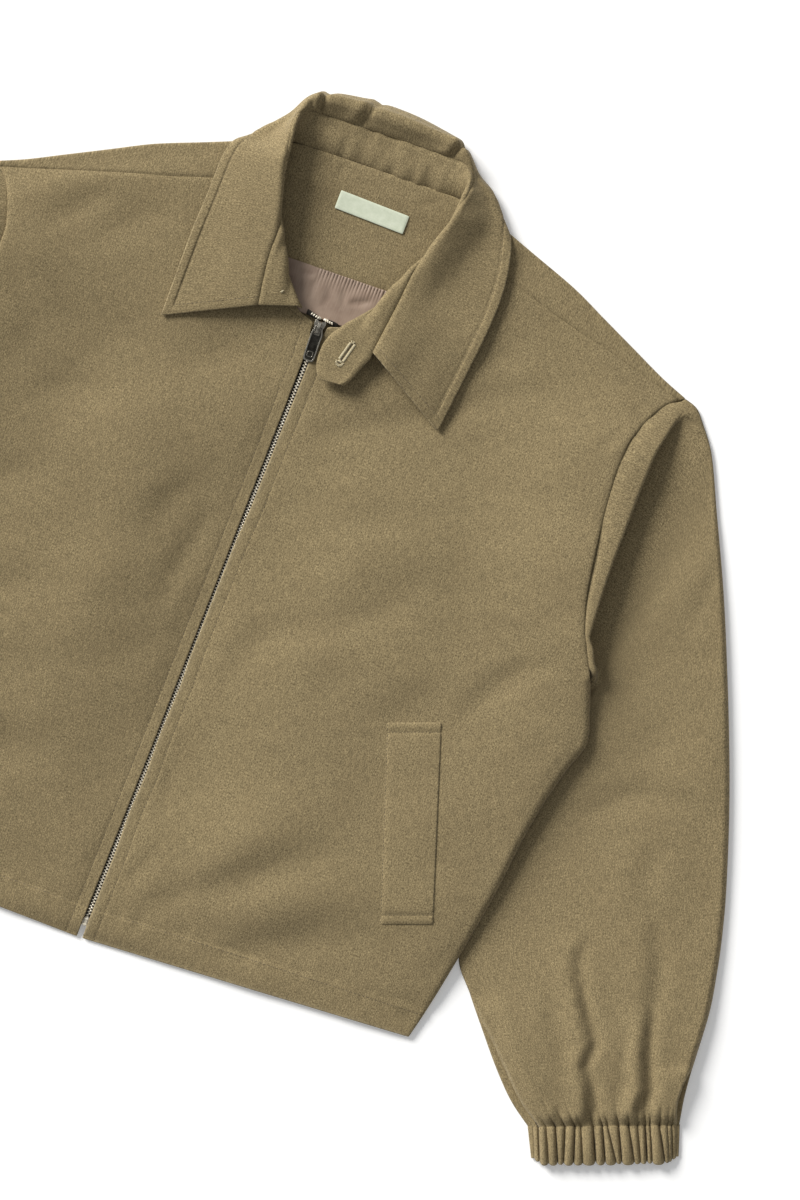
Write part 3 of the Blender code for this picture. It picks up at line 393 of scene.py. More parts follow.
    def front_z(self, side: Side, h: Array, v: Array) -> Array:
        """Middle of the front before its creases, with less air under it at the edges.

        Args:
            side: the wearer's side.
            h: places from the zip line.
            v: places up the lay.

        Returns:
            Heights in mm.
        """
        inside = self.from_side(h, v)
        top = ease((self.shoulder_v(h) - v) / 26)
        hem = 0.1 + 0.9 * ease((v + 6) / 100)
        middle = self.middle_fill * ease((415 - v) / 90) * (0.35 + 0.65 * ease(inside / 150))
        body = (self.body_fill + middle) * rounded(inside) * top * hem
        at_zip = self.zip_fill * ease((v + 11) / 8)
        air = mix(at_zip, body, ease((h - 14) / 80))
        drop = self.hem_drop * ease((3 - v) / 12)
        to_head = self.edge_h(self.armhole, np.maximum(v, self.side_top_v)) - h
        head = self.head_lift * ease(1 - to_head / 105) * ease((v - 250) / 75) * ease((500 - v) / 62)
        ramp = self.over_sleeve(side, h, v, 108, 95) - self.over_sleeve(side, h, v, 30, 17)
        return self.back_z(side, h, v) + ramp + head + self.stack + air - drop


LAY = Lay()


# ---------------------------------------------------------------- meshes


def grain_of(across: Array, along: Array) -> Array:
    """The cloth's own coordinates in metres, from places across and along it in mm."""
    return np.stack(np.broadcast_arrays(across, along), axis=-1) * MM


@dataclass
class Patch:
    """A grid of points over part of a piece, with the cloth's own coordinates in metres."""

    points: Array
    grain: Array
    ring: bool = False
    worn: Optional[Array] = None

    def quads(self) -> Array:
        """Corner numbers of each face, and the same for its grain."""
        rows, columns = self.points.shape[:2]
        numbers = np.arange(rows * columns).reshape(rows, columns)
        after = np.roll(numbers, -1, axis=1) if self.ring else numbers[:, 1:]
        here = numbers if self.ring else numbers[:, :-1]
        quads = np.stack([here[:-1], after[:-1], after[1:], here[1:]], axis=-1)
        return quads.reshape(-1, 4)


def both_sides(points: Sequence[Array], grains: Sequence[Array]) -> Patch:
    """One patch of the wearer's right and left halves, which share their first columns."""
    return Patch(*(np.concatenate([right[:, :0:-1], left], axis=1) for right, left in (points, grains)))


def weld(patches: Sequence[Patch]) -> tuple:
    """Join patches where their points meet.

    Args:
        patches: the grids of one piece.

    Returns:
        Points, faces as corner numbers, grain at each face corner, and wear at each point.
    """
    points, faces, grains, worn = [], [], [], []
    start = 0
    for patch in patches:
        quads = patch.quads()
        points.append(patch.points.reshape(-1, 3))
        faces.append(quads + start)
        grain = patch.grain.reshape(-1, 2)[quads]
        if patch.ring:
            columns = patch.points.shape[1]
            last = quads[:, 0] % columns == columns - 1
            step = grain[:, 0, 0] - patch.grain.reshape(-1, 2)[quads[:, 0] - 1][:, 0]
            for corner, beside in ((1, 0), (2, 3)):
                grain[last, corner, 0] = grain[last, beside, 0] + step[last]
        grains.append(grain)
        wear = np.zeros(patch.points.shape[:2]) if patch.worn is None else patch.worn
        worn.append(wear.reshape(-1))
        start += patch.points.shape[0] * patch.points.shape[1]
    points, faces = np.concatenate(points), np.concatenate(faces)
    grains, worn = np.concatenate(grains), np.concatenate(worn)
    _, first, same = np.unique(np.round(points, 7), axis=0, return_index=True, return_inverse=True)
    faces = same.reshape(-1)[faces]
    keep = np.count_nonzero(np.diff(np.sort(faces, axis=1), axis=1), axis=1) >= 2
    return points[first], faces[keep], grains[keep], worn[first]


def unit(vectors: Array) -> Array:
    """Vectors scaled to a length of one."""
    return vectors / np.maximum(np.linalg.norm(vectors, axis=-1, keepdims=True), 1e-12)


def normals_of(points: Array, faces: Array) -> tuple:
    """Unit normals of faces and of the points they meet at.

    Args:
        points: places in metres.
        faces: corner numbers of each quad.

    Returns:
        The faces' normals, and the points'.
    """
    a, b = points[faces[:, 2]] - points[faces[:, 0]], points[faces[:, 3]] - points[faces[:, 1]]
    face_normals = np.cross(a, b)
    sums = np.zeros_like(points)
    for corner in range(4):
        np.add.at(sums, faces[:, corner], face_normals)
    return unit(face_normals), unit(sums)


def thicken(points: Array, faces: Array, grains: Array, worn: Array, wall: float) -> tuple:
    """Turn a middle surface into a closed shell with rounded rims.

    Args:
        points: places of the middle surface, in metres.
        faces: its faces as corner numbers.
        grains: the grain at each face corner.
        worn: the wear at each point.
        wall: the cloth's thickness, in metres.

    Returns:
        Points, faces, grains and wear of the shell.
    """
    face_normals, normals = normals_of(points, faces)
    half = wall / 2
    count = len(points)
    top, low = points + normals * half, points - normals * half
    ends = np.stack([faces, np.roll(faces, -1, axis=1)], axis=-1).reshape(-1, 2)
    edge_face = np.repeat(np.arange(len(faces)), 4)
    edge_corner = np.tile(np.arange(4), len(faces))
    real = ends[:, 0] != ends[:, 1]
    key = np.sort(ends, axis=1)
    key = key[:, 0].astype(np.int64) * count + key[:, 1]
    _, inverse, uses = np.unique(key, return_inverse=True, return_counts=True)
    rim = (uses[inverse.reshape(-1)] == 1) & real
    rim_edges, rim_faces, rim_corners = ends[rim], edge_face[rim], edge_corner[rim]
    way = points[rim_edges[:, 1]] - points[rim_edges[:, 0]]
    outward = np.cross(way, face_normals[rim_faces])
    sums = np.zeros_like(points)
    for corner in range(2):
        np.add.at(sums, rim_edges[:, corner], outward)
    rim_points = np.unique(rim_edges)
    out = unit(sums[rim_points])
    place = np.full(count, -1)
    place[rim_points] = np.arange(len(rim_points))
    all_points = [top, low]
    rings = []
    start = 2 * count
    for degrees in (50, 0, -50):
        c, s = math.cos(math.radians(degrees)), math.sin(math.radians(degrees))
        all_points.append(points[rim_points] + out * half * c + normals[rim_points] * half * s)
        rings.append(start + place)
        start += len(rim_points)
    bands = [np.arange(count)] + rings + [np.arange(count) + count]
    all_faces = [faces, faces[:, ::-1] + count]
    all_grains = [grains, grains[:, ::-1]]
    a, b = rim_edges[:, 0], rim_edges[:, 1]
    grain_a = grains[rim_faces, rim_corners]
    grain_b = grains[rim_faces, (rim_corners + 1) % 4]
    for upper, lower in zip(bands, bands[1:]):
        all_faces.append(np.stack([upper[b], upper[a], lower[a], lower[b]], axis=-1))
        all_grains.append(np.stack([grain_b, grain_a, grain_a, grain_b], axis=1))
    wear = np.concatenate([worn, np.zeros_like(worn)] + [worn[rim_points]] * 3)
    return np.concatenate(all_points), np.concatenate(all_faces), np.concatenate(all_grains), wear


def link(name: str, data: bpy.types.ID) -> Piece:
    """Put an object of some data in the scene."""
    made = bpy.data.objects.new(name, data)
    bpy.context.scene.collection.objects.link(made)
    return made


def make_object(name: str, points: Array, faces: Iterable, finish: Material,
                grains: Optional[Array] = None, worn: Optional[Array] = None) -> Piece:
    """Make a mesh object in the scene.

    Args:
        name: the piece's name.
        points: its points, in metres.
        faces: its faces as corner numbers; a corner may stand twice in a quad.
        finish: its material.
        grains: the cloth's own coordinates at each face corner.
        worn: the wear at each point.

    Returns:
        The new object.
    """
    mesh = bpy.data.meshes.new(name)
    loops, uvs = [], []
    for number, face in enumerate(np.asarray(faces).tolist() if isinstance(faces, np.ndarray) else faces):
        kept = [n for n in range(len(face)) if face[n] != face[n - 1]]
        loops.append([face[n] for n in kept])
        if grains is not None:
            uvs.extend(grains[number][kept])
    mesh.from_pydata(np.asarray(points).tolist(), [], loops)
    if grains is not None:
        layer = mesh.uv_layers.new(name="grain")
        layer.data.foreach_set("uv", np.asarray(uvs, np.float32).reshape(-1))
    if worn is not None:
        mark = mesh.attributes.new("worn", "FLOAT", "POINT")
        mark.data.foreach_set("value", np.asarray(worn, np.float32))
    mesh.materials.append(finish)
    mesh.shade_smooth()
    return link(name, mesh)


def stand_for(piece: Piece, node: str, body: str = "jacket") -> Piece:
    """Let a piece ride on its body in the place of its node."""
    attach(piece, body)
    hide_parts(node)
    return piece


def make_cloth(node: str, patches: Sequence[Patch], wall: float, finish: Material,
               slot: str = "khaki_twill", **cut: object) -> Piece:
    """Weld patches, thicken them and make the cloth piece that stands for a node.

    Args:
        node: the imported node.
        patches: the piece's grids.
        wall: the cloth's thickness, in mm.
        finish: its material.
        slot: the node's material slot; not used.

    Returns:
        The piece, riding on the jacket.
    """
    points, faces, grains, worn = thicken(*weld(patches), wall * MM)
    piece = make_object(f"{node}_cloth", points, faces, finish, grains, worn)
    stand_for(piece, node)
    return piece


def path_lengths(points: Array) -> Array:
    """How far along a path each of its points stands."""
    steps = np.linalg.norm(np.diff(points, axis=0), axis=-1)
    return np.concatenate([[0.0], np.cumsum(steps)])


def along_path(points: Array, at: Array) -> Array:
    """Points at distances along a path."""
    walked = path_lengths(points)
    return np.stack([np.interp(at, walked, points[:, axis]) for axis in range(points.shape[1])], axis=-1)


def row_path(points: Array, row: int) -> tuple:
    """One row of a grid as a path, with the surface's normals along it."""
    return points[row], surface_normals(points)[row]


def column_path(points: Array, column: int) -> tuple:
    """One column of a grid as a path, with the surface's normals along it."""
    return points[:, column], surface_normals(points)[:, column]


def surface_normals(points: Array) -> Array:
    """Unit normals over a grid, on the side that looks up where it lies flat."""
    normals = unit(np.cross(np.gradient(points, axis=0), np.gradient(points, axis=1)))
    return normals if normals[..., 2].sum() >= 0 else -normals


def nearest(values: Array, value: float) -> int:
    """Which of some values comes nearest to one."""
    return int(np.argmin(np.abs(values - value)))


def read_grid(grid: Array, rows: Array, columns: Array) -> Array:
    """Values of a grid between its points.

    Args:
        grid: the grid, its values along the last axis.
        rows: row numbers, in parts of a row.
        columns: column numbers, in parts of a column.

    Returns:
        The values at those places.
    """
    rows = np.clip(rows, 0, grid.shape[0] - 1.001)
    columns = np.clip(columns, 0, grid.shape[1] - 1.001)
    i, j = rows.astype(int), columns.astype(int)
    fi, fj = (rows - i)[:, None], (columns - j)[:, None]
    return ((1 - fi) * (1 - fj) * grid[i, j] + fi * (1 - fj) * grid[i + 1, j]
            + (1 - fi) * fj * grid[i, j + 1] + fi * fj * grid[i + 1, j + 1])


@dataclass(frozen=True)
class Stitching:
    """A line of lockstitch: short threads that dip into the cloth at both ends."""

    pitch: float = 3.1
    length: float = 2.4
    thick: float = 0.42
    rings: int = 5
    sides: int = 6
    sink: float = 0.10

    def template(self) -> tuple:
        """Shape one stitch along x.

        Returns:
            Its points in mm, and its faces.
        """
        t = np.linspace(-0.5, 0.5, self.rings)
        radius = self.thick / 2 * np.sqrt(1 - (1.7 * t) ** 2)
        rise = self.thick * 0.25 - self.sink - 1.3 * self.thick * t**2
        angles = np.arange(self.sides) * 2 * math.pi / self.sides
        points = [(t[n] * self.length, radius[n] * math.cos(a), radius[n] * math.sin(a) + rise[n])
                  for n in range(self.rings) for a in angles]
        faces = []
        for ring in range(self.rings - 1):
            for n in range(self.sides):
                m = (n + 1) % self.sides
                start = ring * self.sides
                faces.append((start + n, start + m, start + self.sides + m, start + self.sides + n))
        faces.append(tuple(range(self.sides))[::-1])
        faces.append(tuple(range((self.rings - 1) * self.sides, self.rings * self.sides)))
        return np.array(points), faces

    def lay(self, name: str, places: Array, ways: Array, ups: Array, finish: Material) -> Piece:
        """Lay one stitch at each place.

        Args:
            name: the stitches' name.
            places: their middles, in metres.
            ways: unit vectors along them.
            ups: unit vectors out of the cloth, square to the ways.
            finish: the thread.

        Returns:
            The stitches as one piece, riding on the jacket.
        """
        template, shape = self.template()
        ways, ups, _ = np.broadcast_arrays(ways, ups, places)
        turns = np.stack([ways, np.cross(ups, ways), ups], axis=1)
        points = places[:, None] + np.einsum("pk,nkc->npc", template * MM, turns)
        starts = np.arange(len(places)) * len(template)
        faces = [tuple(int(start) + n for n in face) for start in starts for face in shape]
        piece = make_object(name, points.reshape(-1, 3), faces, finish)
        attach(piece, "jacket")
        return piece

    def sew(self, name: str, paths: Sequence[tuple], wall: float, finish: Material) -> Piece:
        """Lay stitches along paths on a cloth.

        Args:
            name: the stitches' name.
            paths: points and normals of each path, in metres.
            wall: the cloth's thickness, in mm.
            finish: the thread.

        Returns:
            The stitches as one piece, riding on the jacket.
        """
        places, ways, ups = [], [], []
        for points, normals in paths:
            walked = path_lengths(points)
            count = int(walked[-1] / (self.pitch * MM))
            at = (np.arange(count) + 0.5) * walked[-1] / max(count, 1)
            way = unit(along_path(points, at + 0.0004) - along_path(points, at - 0.0004))
            up = np.stack([np.interp(at, walked, normals[:, axis]) for axis in range(3)], axis=-1)
            up = np.cross(way, unit(np.cross(up, way)))
            places.append(along_path(points, at) + up * (wall / 2) * MM)
            ways.append(way)
            ups.append(up)
        return self.lay(name, *map(np.concatenate, (places, ways, ups)), finish)


# ---------------------------------------------------------------- finishes


class Graph:
    """A material's nodes, with short ways to add and join them."""

    def __init__(self, name: str) -> None:
        """Start a material with its shader and output."""
        self.material = bpy.data.materials.new(name)
        self.material.use_nodes = True
        self.tree = self.material.node_tree
        self.shader = self.tree.nodes["Principled BSDF"]

    def node(self, kind: str, inputs: Optional[dict] = None, **settings) -> bpy.types.Node:
        """Add a node.

        Args:
            kind: Blender's name for it, after ShaderNode.
            inputs: a value or an output for each named or numbered input.
            settings: the node's own properties.

        Returns:
            The node.
        """
        made = self.tree.nodes.new("ShaderNode" + kind)
        for key, value in settings.items():
            setattr(made, key, value)
        for key, value in (inputs or {}).items():
            self.feed(made.inputs[key], value)
        return made

    def feed(self, socket: Socket, value: object) -> None:
        """Give an input a value, or join an output to it."""
        if isinstance(value, Socket):
            self.tree.links.new(value, socket)
        else:
            socket.default_value = value

    def maths(self, operation: str, first: object, second: object = 0.0) -> Socket:
        """A Math node's output."""
        return self.node("Math", {0: first, 1: second}, operation=operation).outputs[0]

    def noise(self, where: object, scale: float, detail: float = 2.0, roughness: float = 0.5) -> Socket:
        """A noise texture's height."""
        inputs = {"Vector": where, "Scale": scale, "Detail": detail, "Roughness": roughness}
        return self.node("TexNoise", inputs).outputs["Fac"]

    def blend(self, share: object, first: object, second: object, kind: str = "MIX") -> Socket:
        """A colour mix."""
        made = self.node("Mix", data_type="RGBA", blend_type=kind)
        self.feed(made.inputs[0], share)
        self.feed(made.inputs[6], first)
        self.feed(made.inputs[7], second)
        return made.outputs[2]

    def span(self, value: object, low: float, high: float, to_low: float = 0.0,
             to_high: float = 1.0) -> Socket:
        """Map a range of values to another, kept within it."""
        inputs = {0: value, 1: low, 2: high, 3: to_low, 4: to_high}
        return self.node("MapRange", inputs).outputs[0]

    def grain(self) -> Socket:
        """The cloth's own coordinates, in metres."""
        return self.node("UVMap", uv_map="grain").outputs[0]

    def place(self) -> Socket:
        """Places in the piece, in metres."""
        return self.node("TexCoord").outputs["Object"]

    def worn(self) -> Socket:
        """The wear marked on the piece."""
        return self.node("Attribute", attribute_name="worn").outputs["Fac"]

    def stretch(self, where: object, scale: tuple, turn: float = 0.0) -> Socket:
        """Coordinates scaled, and turned about z."""
        inputs = {"Vector": where, "Scale": scale, "Rotation": (0.0, 0.0, turn)}
        return self.node("Mapping", inputs).outputs[0]

    def relief(self, height: object, strength: float, distance: float,
               under: Optional[object] = None) -> Socket:
        """A bump on the shader's normal."""
        inputs = {"Height": height, "Strength": strength, "Distance": distance}
        if under is not None:
            inputs["Normal"] = under
        return self.node("Bump", inputs).outputs[0]

    def shade(self, **values: object) -> Material:
        """Set the shader's inputs by name, and return the material."""
        for key, value in values.items():
            self.feed(self.shader.inputs[key.replace("_", " ")], value)
        return self.material


def colour(red: float, green: float, blue: float) -> tuple:
    """A colour read off a screen, 0 to 255, as linear light."""
    linear = [((c / 255 + 0.055) / 1.055) ** 2.4 for c in (red, green, blue)]
    return (*linear, 1.0)


@dataclass(frozen=True)
class Twill:
    """Fine cotton twill, mottled by washing and paler where edges rub."""

    name: str = "khaki_twill_cloth"
    ground: tuple = (129, 112, 81)
    light: tuple = (180, 162, 122)
    dark: tuple = (84, 72, 48)
    rib: float = 9000.0
    fleck: float = 1300.0

    def make(self) -> Material:
        """Join the finish's nodes.

        Returns:
            The material.
        """
        g = Graph(self.name)
        where = g.grain()
        fleck = g.noise(g.stretch(where, (1.35, 0.55, 1.0)), self.fleck, 3.0, 0.65)
        warp = g.noise(g.stretch(where, (1000.0, 120.0, 1.0)), 1.0, 2.0, 0.6)
        weft = g.noise(g.stretch(where, (150.0, 1400.0, 1.0)), 1.0, 1.0, 0.5)
        cloudy = g.noise(g.stretch(where, (60.0, 22.0, 1.0)), 1.0, 3.0, 0.6)
        tone = g.blend(g.span(fleck, 0.34, 0.67), colour(*self.dark), colour(*self.light))
        tone = g.blend(g.span(cloudy, 0.3, 0.7, 0.12, 0.32), tone, colour(*self.ground))
        streak = g.maths("ADD", warp, g.maths("MULTIPLY", weft, 0.35))
        streak = g.span(streak, 0.47, 0.88, 0.76, 1.20)
        tone = g.blend(1.0, tone, g.node("CombineColor", {0: streak, 1: streak, 2: streak}).outputs[0],
                       "MULTIPLY")
        worn = g.worn()
        rubbed = g.maths("MULTIPLY", worn, g.span(g.noise(where, 420.0, 3.0, 0.7), 0.35, 0.7))
        tone = g.blend(g.maths("MULTIPLY", rubbed, 0.5), tone, colour(186, 171, 138))
        rib = g.node("TexWave", {"Vector": where, "Scale": self.rib / (2 * math.pi),
                                 "Distortion": 1.2, "Detail": 1.0},
                     wave_type="BANDS", bands_direction="DIAGONAL").outputs["Fac"]
        fine = g.relief(rib, 0.3, 0.0001)
        fine = g.relief(fleck, 0.45, 0.00016, fine)
        return g.shade(Base_Color=tone, Roughness=0.9, Normal=fine, Sheen_Weight=0.1,
                       Sheen_Roughness=0.5, Specular_IOR_Level=0.2)


@dataclass(frozen=True)
class Satin:
    """Soft lining with a low lustre along its threads."""

    name: str = "lining_satin_cloth"
    ground: tuple = (160, 138, 120)
    shade_tone: tuple = (134, 112, 96)

    def make(self) -> Material:
        """Join the finish's nodes.

        Returns:
            The material.
        """
        g = Graph(self.name)
        where = g.grain()
        cloudy = g.noise(where, 60.0, 3.0, 0.55)
        thread = g.noise(g.stretch(where, (1500.0, 120.0, 1.0)), 1.0, 1.0, 0.5)
        tone = g.blend(g.span(cloudy, 0.3, 0.7), colour(*self.shade_tone), colour(*self.ground))
        tone = g.blend(g.span(thread, 0.35, 0.65, 0.0, 0.25), tone, colour(178, 158, 140))
        fine = g.relief(thread, 0.35, 0.0001)
        return g.shade(Base_Color=tone, Roughness=0.55, Normal=fine, Sheen_Weight=0.15,
                       Specular_IOR_Level=0.4)


@dataclass(frozen=True)
class Weave:
    """A close plain weave, for tapes and the label."""

    name: str
    ground: tuple
    shade_tone: tuple
    pitch: float = 1400.0

    def make(self) -> Material:
        """Join the finish's nodes.

        Returns:
            The material.
        """
        g = Graph(self.name)
        where = g.grain()
        wave = {"Vector": where, "Scale": self.pitch / (2 * math.pi), "Distortion": 0.6}
        threads = [g.node("TexWave", wave, bands_direction=way).outputs["Fac"] for way in "XY"]
        cloudy = g.noise(where, 180.0, 3.0, 0.6)
        tone = g.blend(g.span(cloudy, 0.3, 0.7), colour(*self.shade_tone), colour(*self.ground))
        fine = g.relief(g.maths("MAXIMUM", *threads), 0.5, 0.00015)
        return g.shade(Base_Color=tone, Roughness=0.8, Normal=fine, Sheen_Weight=0.1,
                       Specular_IOR_Level=0.3)


@dataclass(frozen=True)
class Thread:
    """Sewing thread, twisted along each stitch."""

    name: str
    ground: tuple

    def make(self) -> Material:
        """Join the finish's nodes.

        Returns:
            The material.
        """
        g = Graph(self.name)
        where = g.place()
        strand = g.noise(where, 2600.0, 2.0, 0.5)
        dark = tuple(c * 0.72 for c in self.ground)
        tone = g.blend(g.span(strand, 0.3, 0.7), colour(*dark), colour(*self.ground))
        return g.shade(Base_Color=tone, Roughness=0.65, Normal=g.relief(strand, 0.4, 0.0001),
                       Sheen_Weight=0.2)


@dataclass(frozen=True)
class Metal:
    """Cast metal, brighter where it rubs."""

    name: str
    ground: tuple
    rubbed: tuple
    roughness: float
    cloud: float = 1.0
    metallic: float = 1.0

    def make(self) -> Material:
        """Join the finish's nodes.

        Returns:
            The material.
        """
        g = Graph(self.name)
        where = g.place()
        grit = g.noise(where, 1800.0, 4.0, 0.65)
        cloudy = g.span(g.noise(where, 240.0, 3.0, 0.6), 0.35, 0.7, 0.0, self.cloud)
        worn = g.worn()
        share = g.maths("MAXIMUM", cloudy, worn)
        tone = g.blend(share, colour(*self.ground), colour(*self.rubbed))
        rough = g.span(grit, 0.3, 0.7, self.roughness * 0.75, min(1.0, self.roughness * 1.35))
        return g.shade(Base_Color=tone, Metallic=self.metallic, Roughness=rough,
                       Normal=g.relief(grit, 0.25, 0.00008))


@dataclass(frozen=True)
class Horn:
    """Polished horn with drifting streaks."""

    name: str = "button_horn_streaked"
    ground: tuple = (96, 78, 58)
    streak: tuple = (52, 40, 30)

    def make(self) -> Material:
        """Join the finish's nodes.

        Returns:
            The material.
        """
        g = Graph(self.name)
        where = g.place()
        drift = g.noise(g.stretch(where, (120.0, 520.0, 300.0)), 1.0, 3.0, 0.6)
        tone = g.blend(g.span(drift, 0.35, 0.65), colour(*self.streak), colour(*self.ground))
        return g.shade(Base_Color=tone, Roughness=0.32, Coat_Weight=0.3)


def finish_of(kind: type, *values: object) -> Material:
    """A field that holds the material of one kind of finish."""
    return field(default_factory=lambda: kind(*values).make())


@dataclass
class Finishes:
    """Every material that the jacket wears, made once."""

    twill: Material = finish_of(Twill)
    satin: Material = finish_of(Satin)
    # The tape's near-black tone is painted shade: it stands for the deep shadow in the gap beside the teeth.
    tape: Material = finish_of(Weave, "zip_tape_weave", (38, 33, 25), (27, 23, 17))
    label: Material = finish_of(Weave, "label_weave_bare", (222, 228, 206), (206, 214, 190), 2400.0)
    thread: Material = finish_of(Thread, "stitch_thread", (106, 92, 66))
    purl: Material = finish_of(Thread, "buttonhole_thread", (238, 224, 184))
    gunmetal: Material = finish_of(Metal, "gunmetal_rubbed", (50, 47, 42), (186, 180, 166), 0.3, 0.12)
    slider: Material = finish_of(Metal, "gunmetal_polished", (120, 115, 104), (236, 228, 210), 0.2)
    nickel: Material = finish_of(Metal, "nickel_bright", (232, 222, 200), (252, 246, 230), 0.34, 1.0, 0.35)
    horn: Material = finish_of(Horn)
    # Near-black thread: painted shade for the welt's seam lines and the buttonhole's cut.
    shadowed: Material = finish_of(Thread, "shadowed_thread", (62, 53, 38))


# ---------------------------------------------------------------- the body


@dataclass
class Front:
    """A front, from the zip edge to the side and armhole and up to the forward shoulder seam."""

    side: Side
    creases: tuple
    wall: float = 1.3
    step: float = 2.6
    edge_stitch: float = 8.0
    hem_depth: float = 22.0
    puff: float = 0.9
    noise: SoftNoise = field(default_factory=lambda: SoftNoise(11))
    # how far the zip edge wanders over the chain, by v
    wander: Curve = Curve((-11, 0), (50, 0), (85, -0.9), (115, -0.1), (148, -0.8), (181, -0.2),
                          (212, -1.1), (290, -1.1), (325, 0), (460, 0))
    # inner_h, inner_v, outer_v
    rows: tuple = (
        (2.7, -10.8, -1.5), (2.6, 5, 11), (2.5, 30, 34), (2.4, 62, 62), (2.3, 98, 92), (2.2, 135, 124),
        (2.2, 174, 158), (2.2, 212, 190), (2.2, 246, 218), (2.2, 276, 241), (2.3, 303, 262),
        (2.4, 327, 282), (2.4, 341, 292), (2.5, 355, 303), (2.5, 373, 320), (2.6, 395, 344),
        (2.8, 416, 372), (2.9, 435, 401), (3.4, 450, 430), (5.6, 457, 452), (6.0, 462, 468),
        (17.5, 466.5, 474), (37.5, 485, 480), (54.5, 502.5, 485), (71, 520.5, 490), (88.5, 544.5, 495.4))

    def relief(self, h: Array, v: Array, from_edge: Array, from_outer: Array, from_top: Array) -> Array:
        """What lies on the front's plain form: creases, puff, stitched channels and pucker.

        Args:
            h: places from the zip line.
            v: places up the lay.
            from_edge: how far each place is from the front's zip edge.
            from_outer: how far it is from the side or armhole.
            from_top: how far it is below the forward shoulder seam.

        Returns:
            Heights to add, in mm.
        """
        u = LAY.zip_u(v) + self.side.value * h
        inside = LAY.from_side(h, v)
        to_top = LAY.shoulder_v(h) - v
        calm = ease((inside - 2) / 13) * ease((from_edge - 2) / 20) * ease((to_top - 8) / 22)
        low = ease((415 - v) / 70)
        height = self.puff * low * calm * ease((v - 8) / 50)
        wave = self.noise(u, v, 95, 58, 25) * 1.5 + self.noise(u + 400, v, 46, 28, 30) * 0.75
        wave += self.noise(u + 90, v + 50, 21, 14, 20) * 0.2
        under_leaf = ease((v - 425) / 40) * ease((155 - h) / 40)
        height += wave * calm * (1 - 0.75 * under_leaf)
        for crease in self.creases:
            height += crease.height(u, v) * calm
        ripple = self.noise(u * 3.2, v + 900, 26, 15)
        height -= 0.26 * bump(from_edge - self.edge_stitch, 0.9)
        height += 0.3 * ripple * bump(from_edge - self.edge_stitch, 6.0)
        from_hem = v - mix(LAY.hem_inner_v, LAY.hem_outer_v, np.clip(h / 240, 0, 1))
        height += 0.5 * ease((self.hem_depth - from_hem) / 1.5)
        height -= 0.34 * bump(from_hem - self.hem_depth - 0.4, 1.0)
        height += 0.55 * ripple * bump(from_hem - self.hem_depth, 7.0)
        sewn = ease((v - LAY.side_top_v) / 8)
        height += sewn * (0.12 * bump(from_outer - 5.5, 3.2) - 0.5 * bump(from_outer, 0.8))
        return height + 0.12 * bump(from_top - 5.5, 3.2) - 0.6 * bump(from_top, 0.9)

    def surface(self, h: Array, v: Array) -> Array:
        """Middle of the front at a place well inside it, with its creases."""
        far = np.full(np.shape(h), 60.0)
        return LAY.front_z(self.side, h, v) + self.relief(h, v, h - 2.4, far, far)

    def lines(self) -> Array:
        """Fine lines across the front.

        Returns:
            A row of inner h, inner v and outer v for each line.
        """
        rows = np.array(self.rows, float)
        numbers = np.arange(len(rows))
        walked = (path_lengths(rows[:, :2]) + path_lengths(rows[:, 2:])) / 2
        hem_at = np.interp(LAY.hem_inner_v + self.hem_depth, rows[:, 1], walked)
        near = ((0.0, (0.6, 1.5)), (hem_at, (-1.8, -0.9, 0.0, 0.9, 1.8)), (walked[-1], (-0.6, -1.5)))
        places = stations(0.0, walked[-1], self.step, near)
        return through_rows(numbers, rows, np.interp(places, walked, numbers))

    def grid(self) -> tuple:
        """Places over the front, finer at its edges and its stitching.

        Returns:
            h and v of each point, and its distances from the zip edge and from the outer edge.
        """
        near = np.array([0, 0.6, 1.5, 2.8, 4.2, 5.6, 6.7, 7.4, 8.0, 8.6, 9.4, 11, 13.5, 16])
        far = np.array([10.5, 8, 5.5, 3.4, 1.8, 0.7, 0])
        middle = np.linspace(0, 1, int(235 / self.step))[1:-1]
        lines = self.lines()
        inner_h, inner_v, outer_v = (lines[:, n][:, None] for n in range(3))
        if self.side is Side.LEFT:
            inner_h = inner_h + self.wander(inner_v)
        top_v = LAY.side_top_v
        outer_h = np.where(outer_v <= top_v, LAY.edge_h(LAY.side_edge, outer_v),
                           LAY.edge_h(LAY.armhole, outer_v) - LAY.seam)
        h = np.concatenate([inner_h + near, mix(inner_h + near[-1], outer_h - far[0], middle[None, :]),
                            outer_h - far], axis=1)
        share = (h - inner_h) / (outer_h - inner_h)
        v = mix(inner_v, outer_v, share)
        return h, v, h - inner_h, outer_h - h

    def build(self, finish: Material, thread: Material) -> list:
        """Make the front.

        Args:
            finish: the cloth.
            thread: its sewing thread.

        Returns:
            The front, riding on the jacket and standing for its node, and its stitches.
        """
        h, v, from_edge, from_outer = self.grid()
        from_top = v[-1:] - v
        z = LAY.front_z(self.side, h, v) + self.relief(h, v, from_edge, from_outer, from_top)
        points = LAY.on_side(self.side, h, v, z)
        worn = np.maximum(bump(from_edge, 1.5), bump(v - v[:1], 1.5))
        node = f"front_{self.side.word}"
        piece = make_cloth(node, [Patch(points, grain_of(h, v), worn=worn)], self.wall, finish,
                           flat=(0.285, 0.59), held="laid", area=0.129, rests_on=["back"])
        column = nearest(from_edge[10], self.edge_stitch)
        row = nearest(v[:, 0], LAY.hem_inner_v + self.hem_depth)
        paths = [column_path(points, column), row_path(points, row)]
        return [piece, Stitching().sew(f"{node}_stitches", paths, self.wall, thread)]


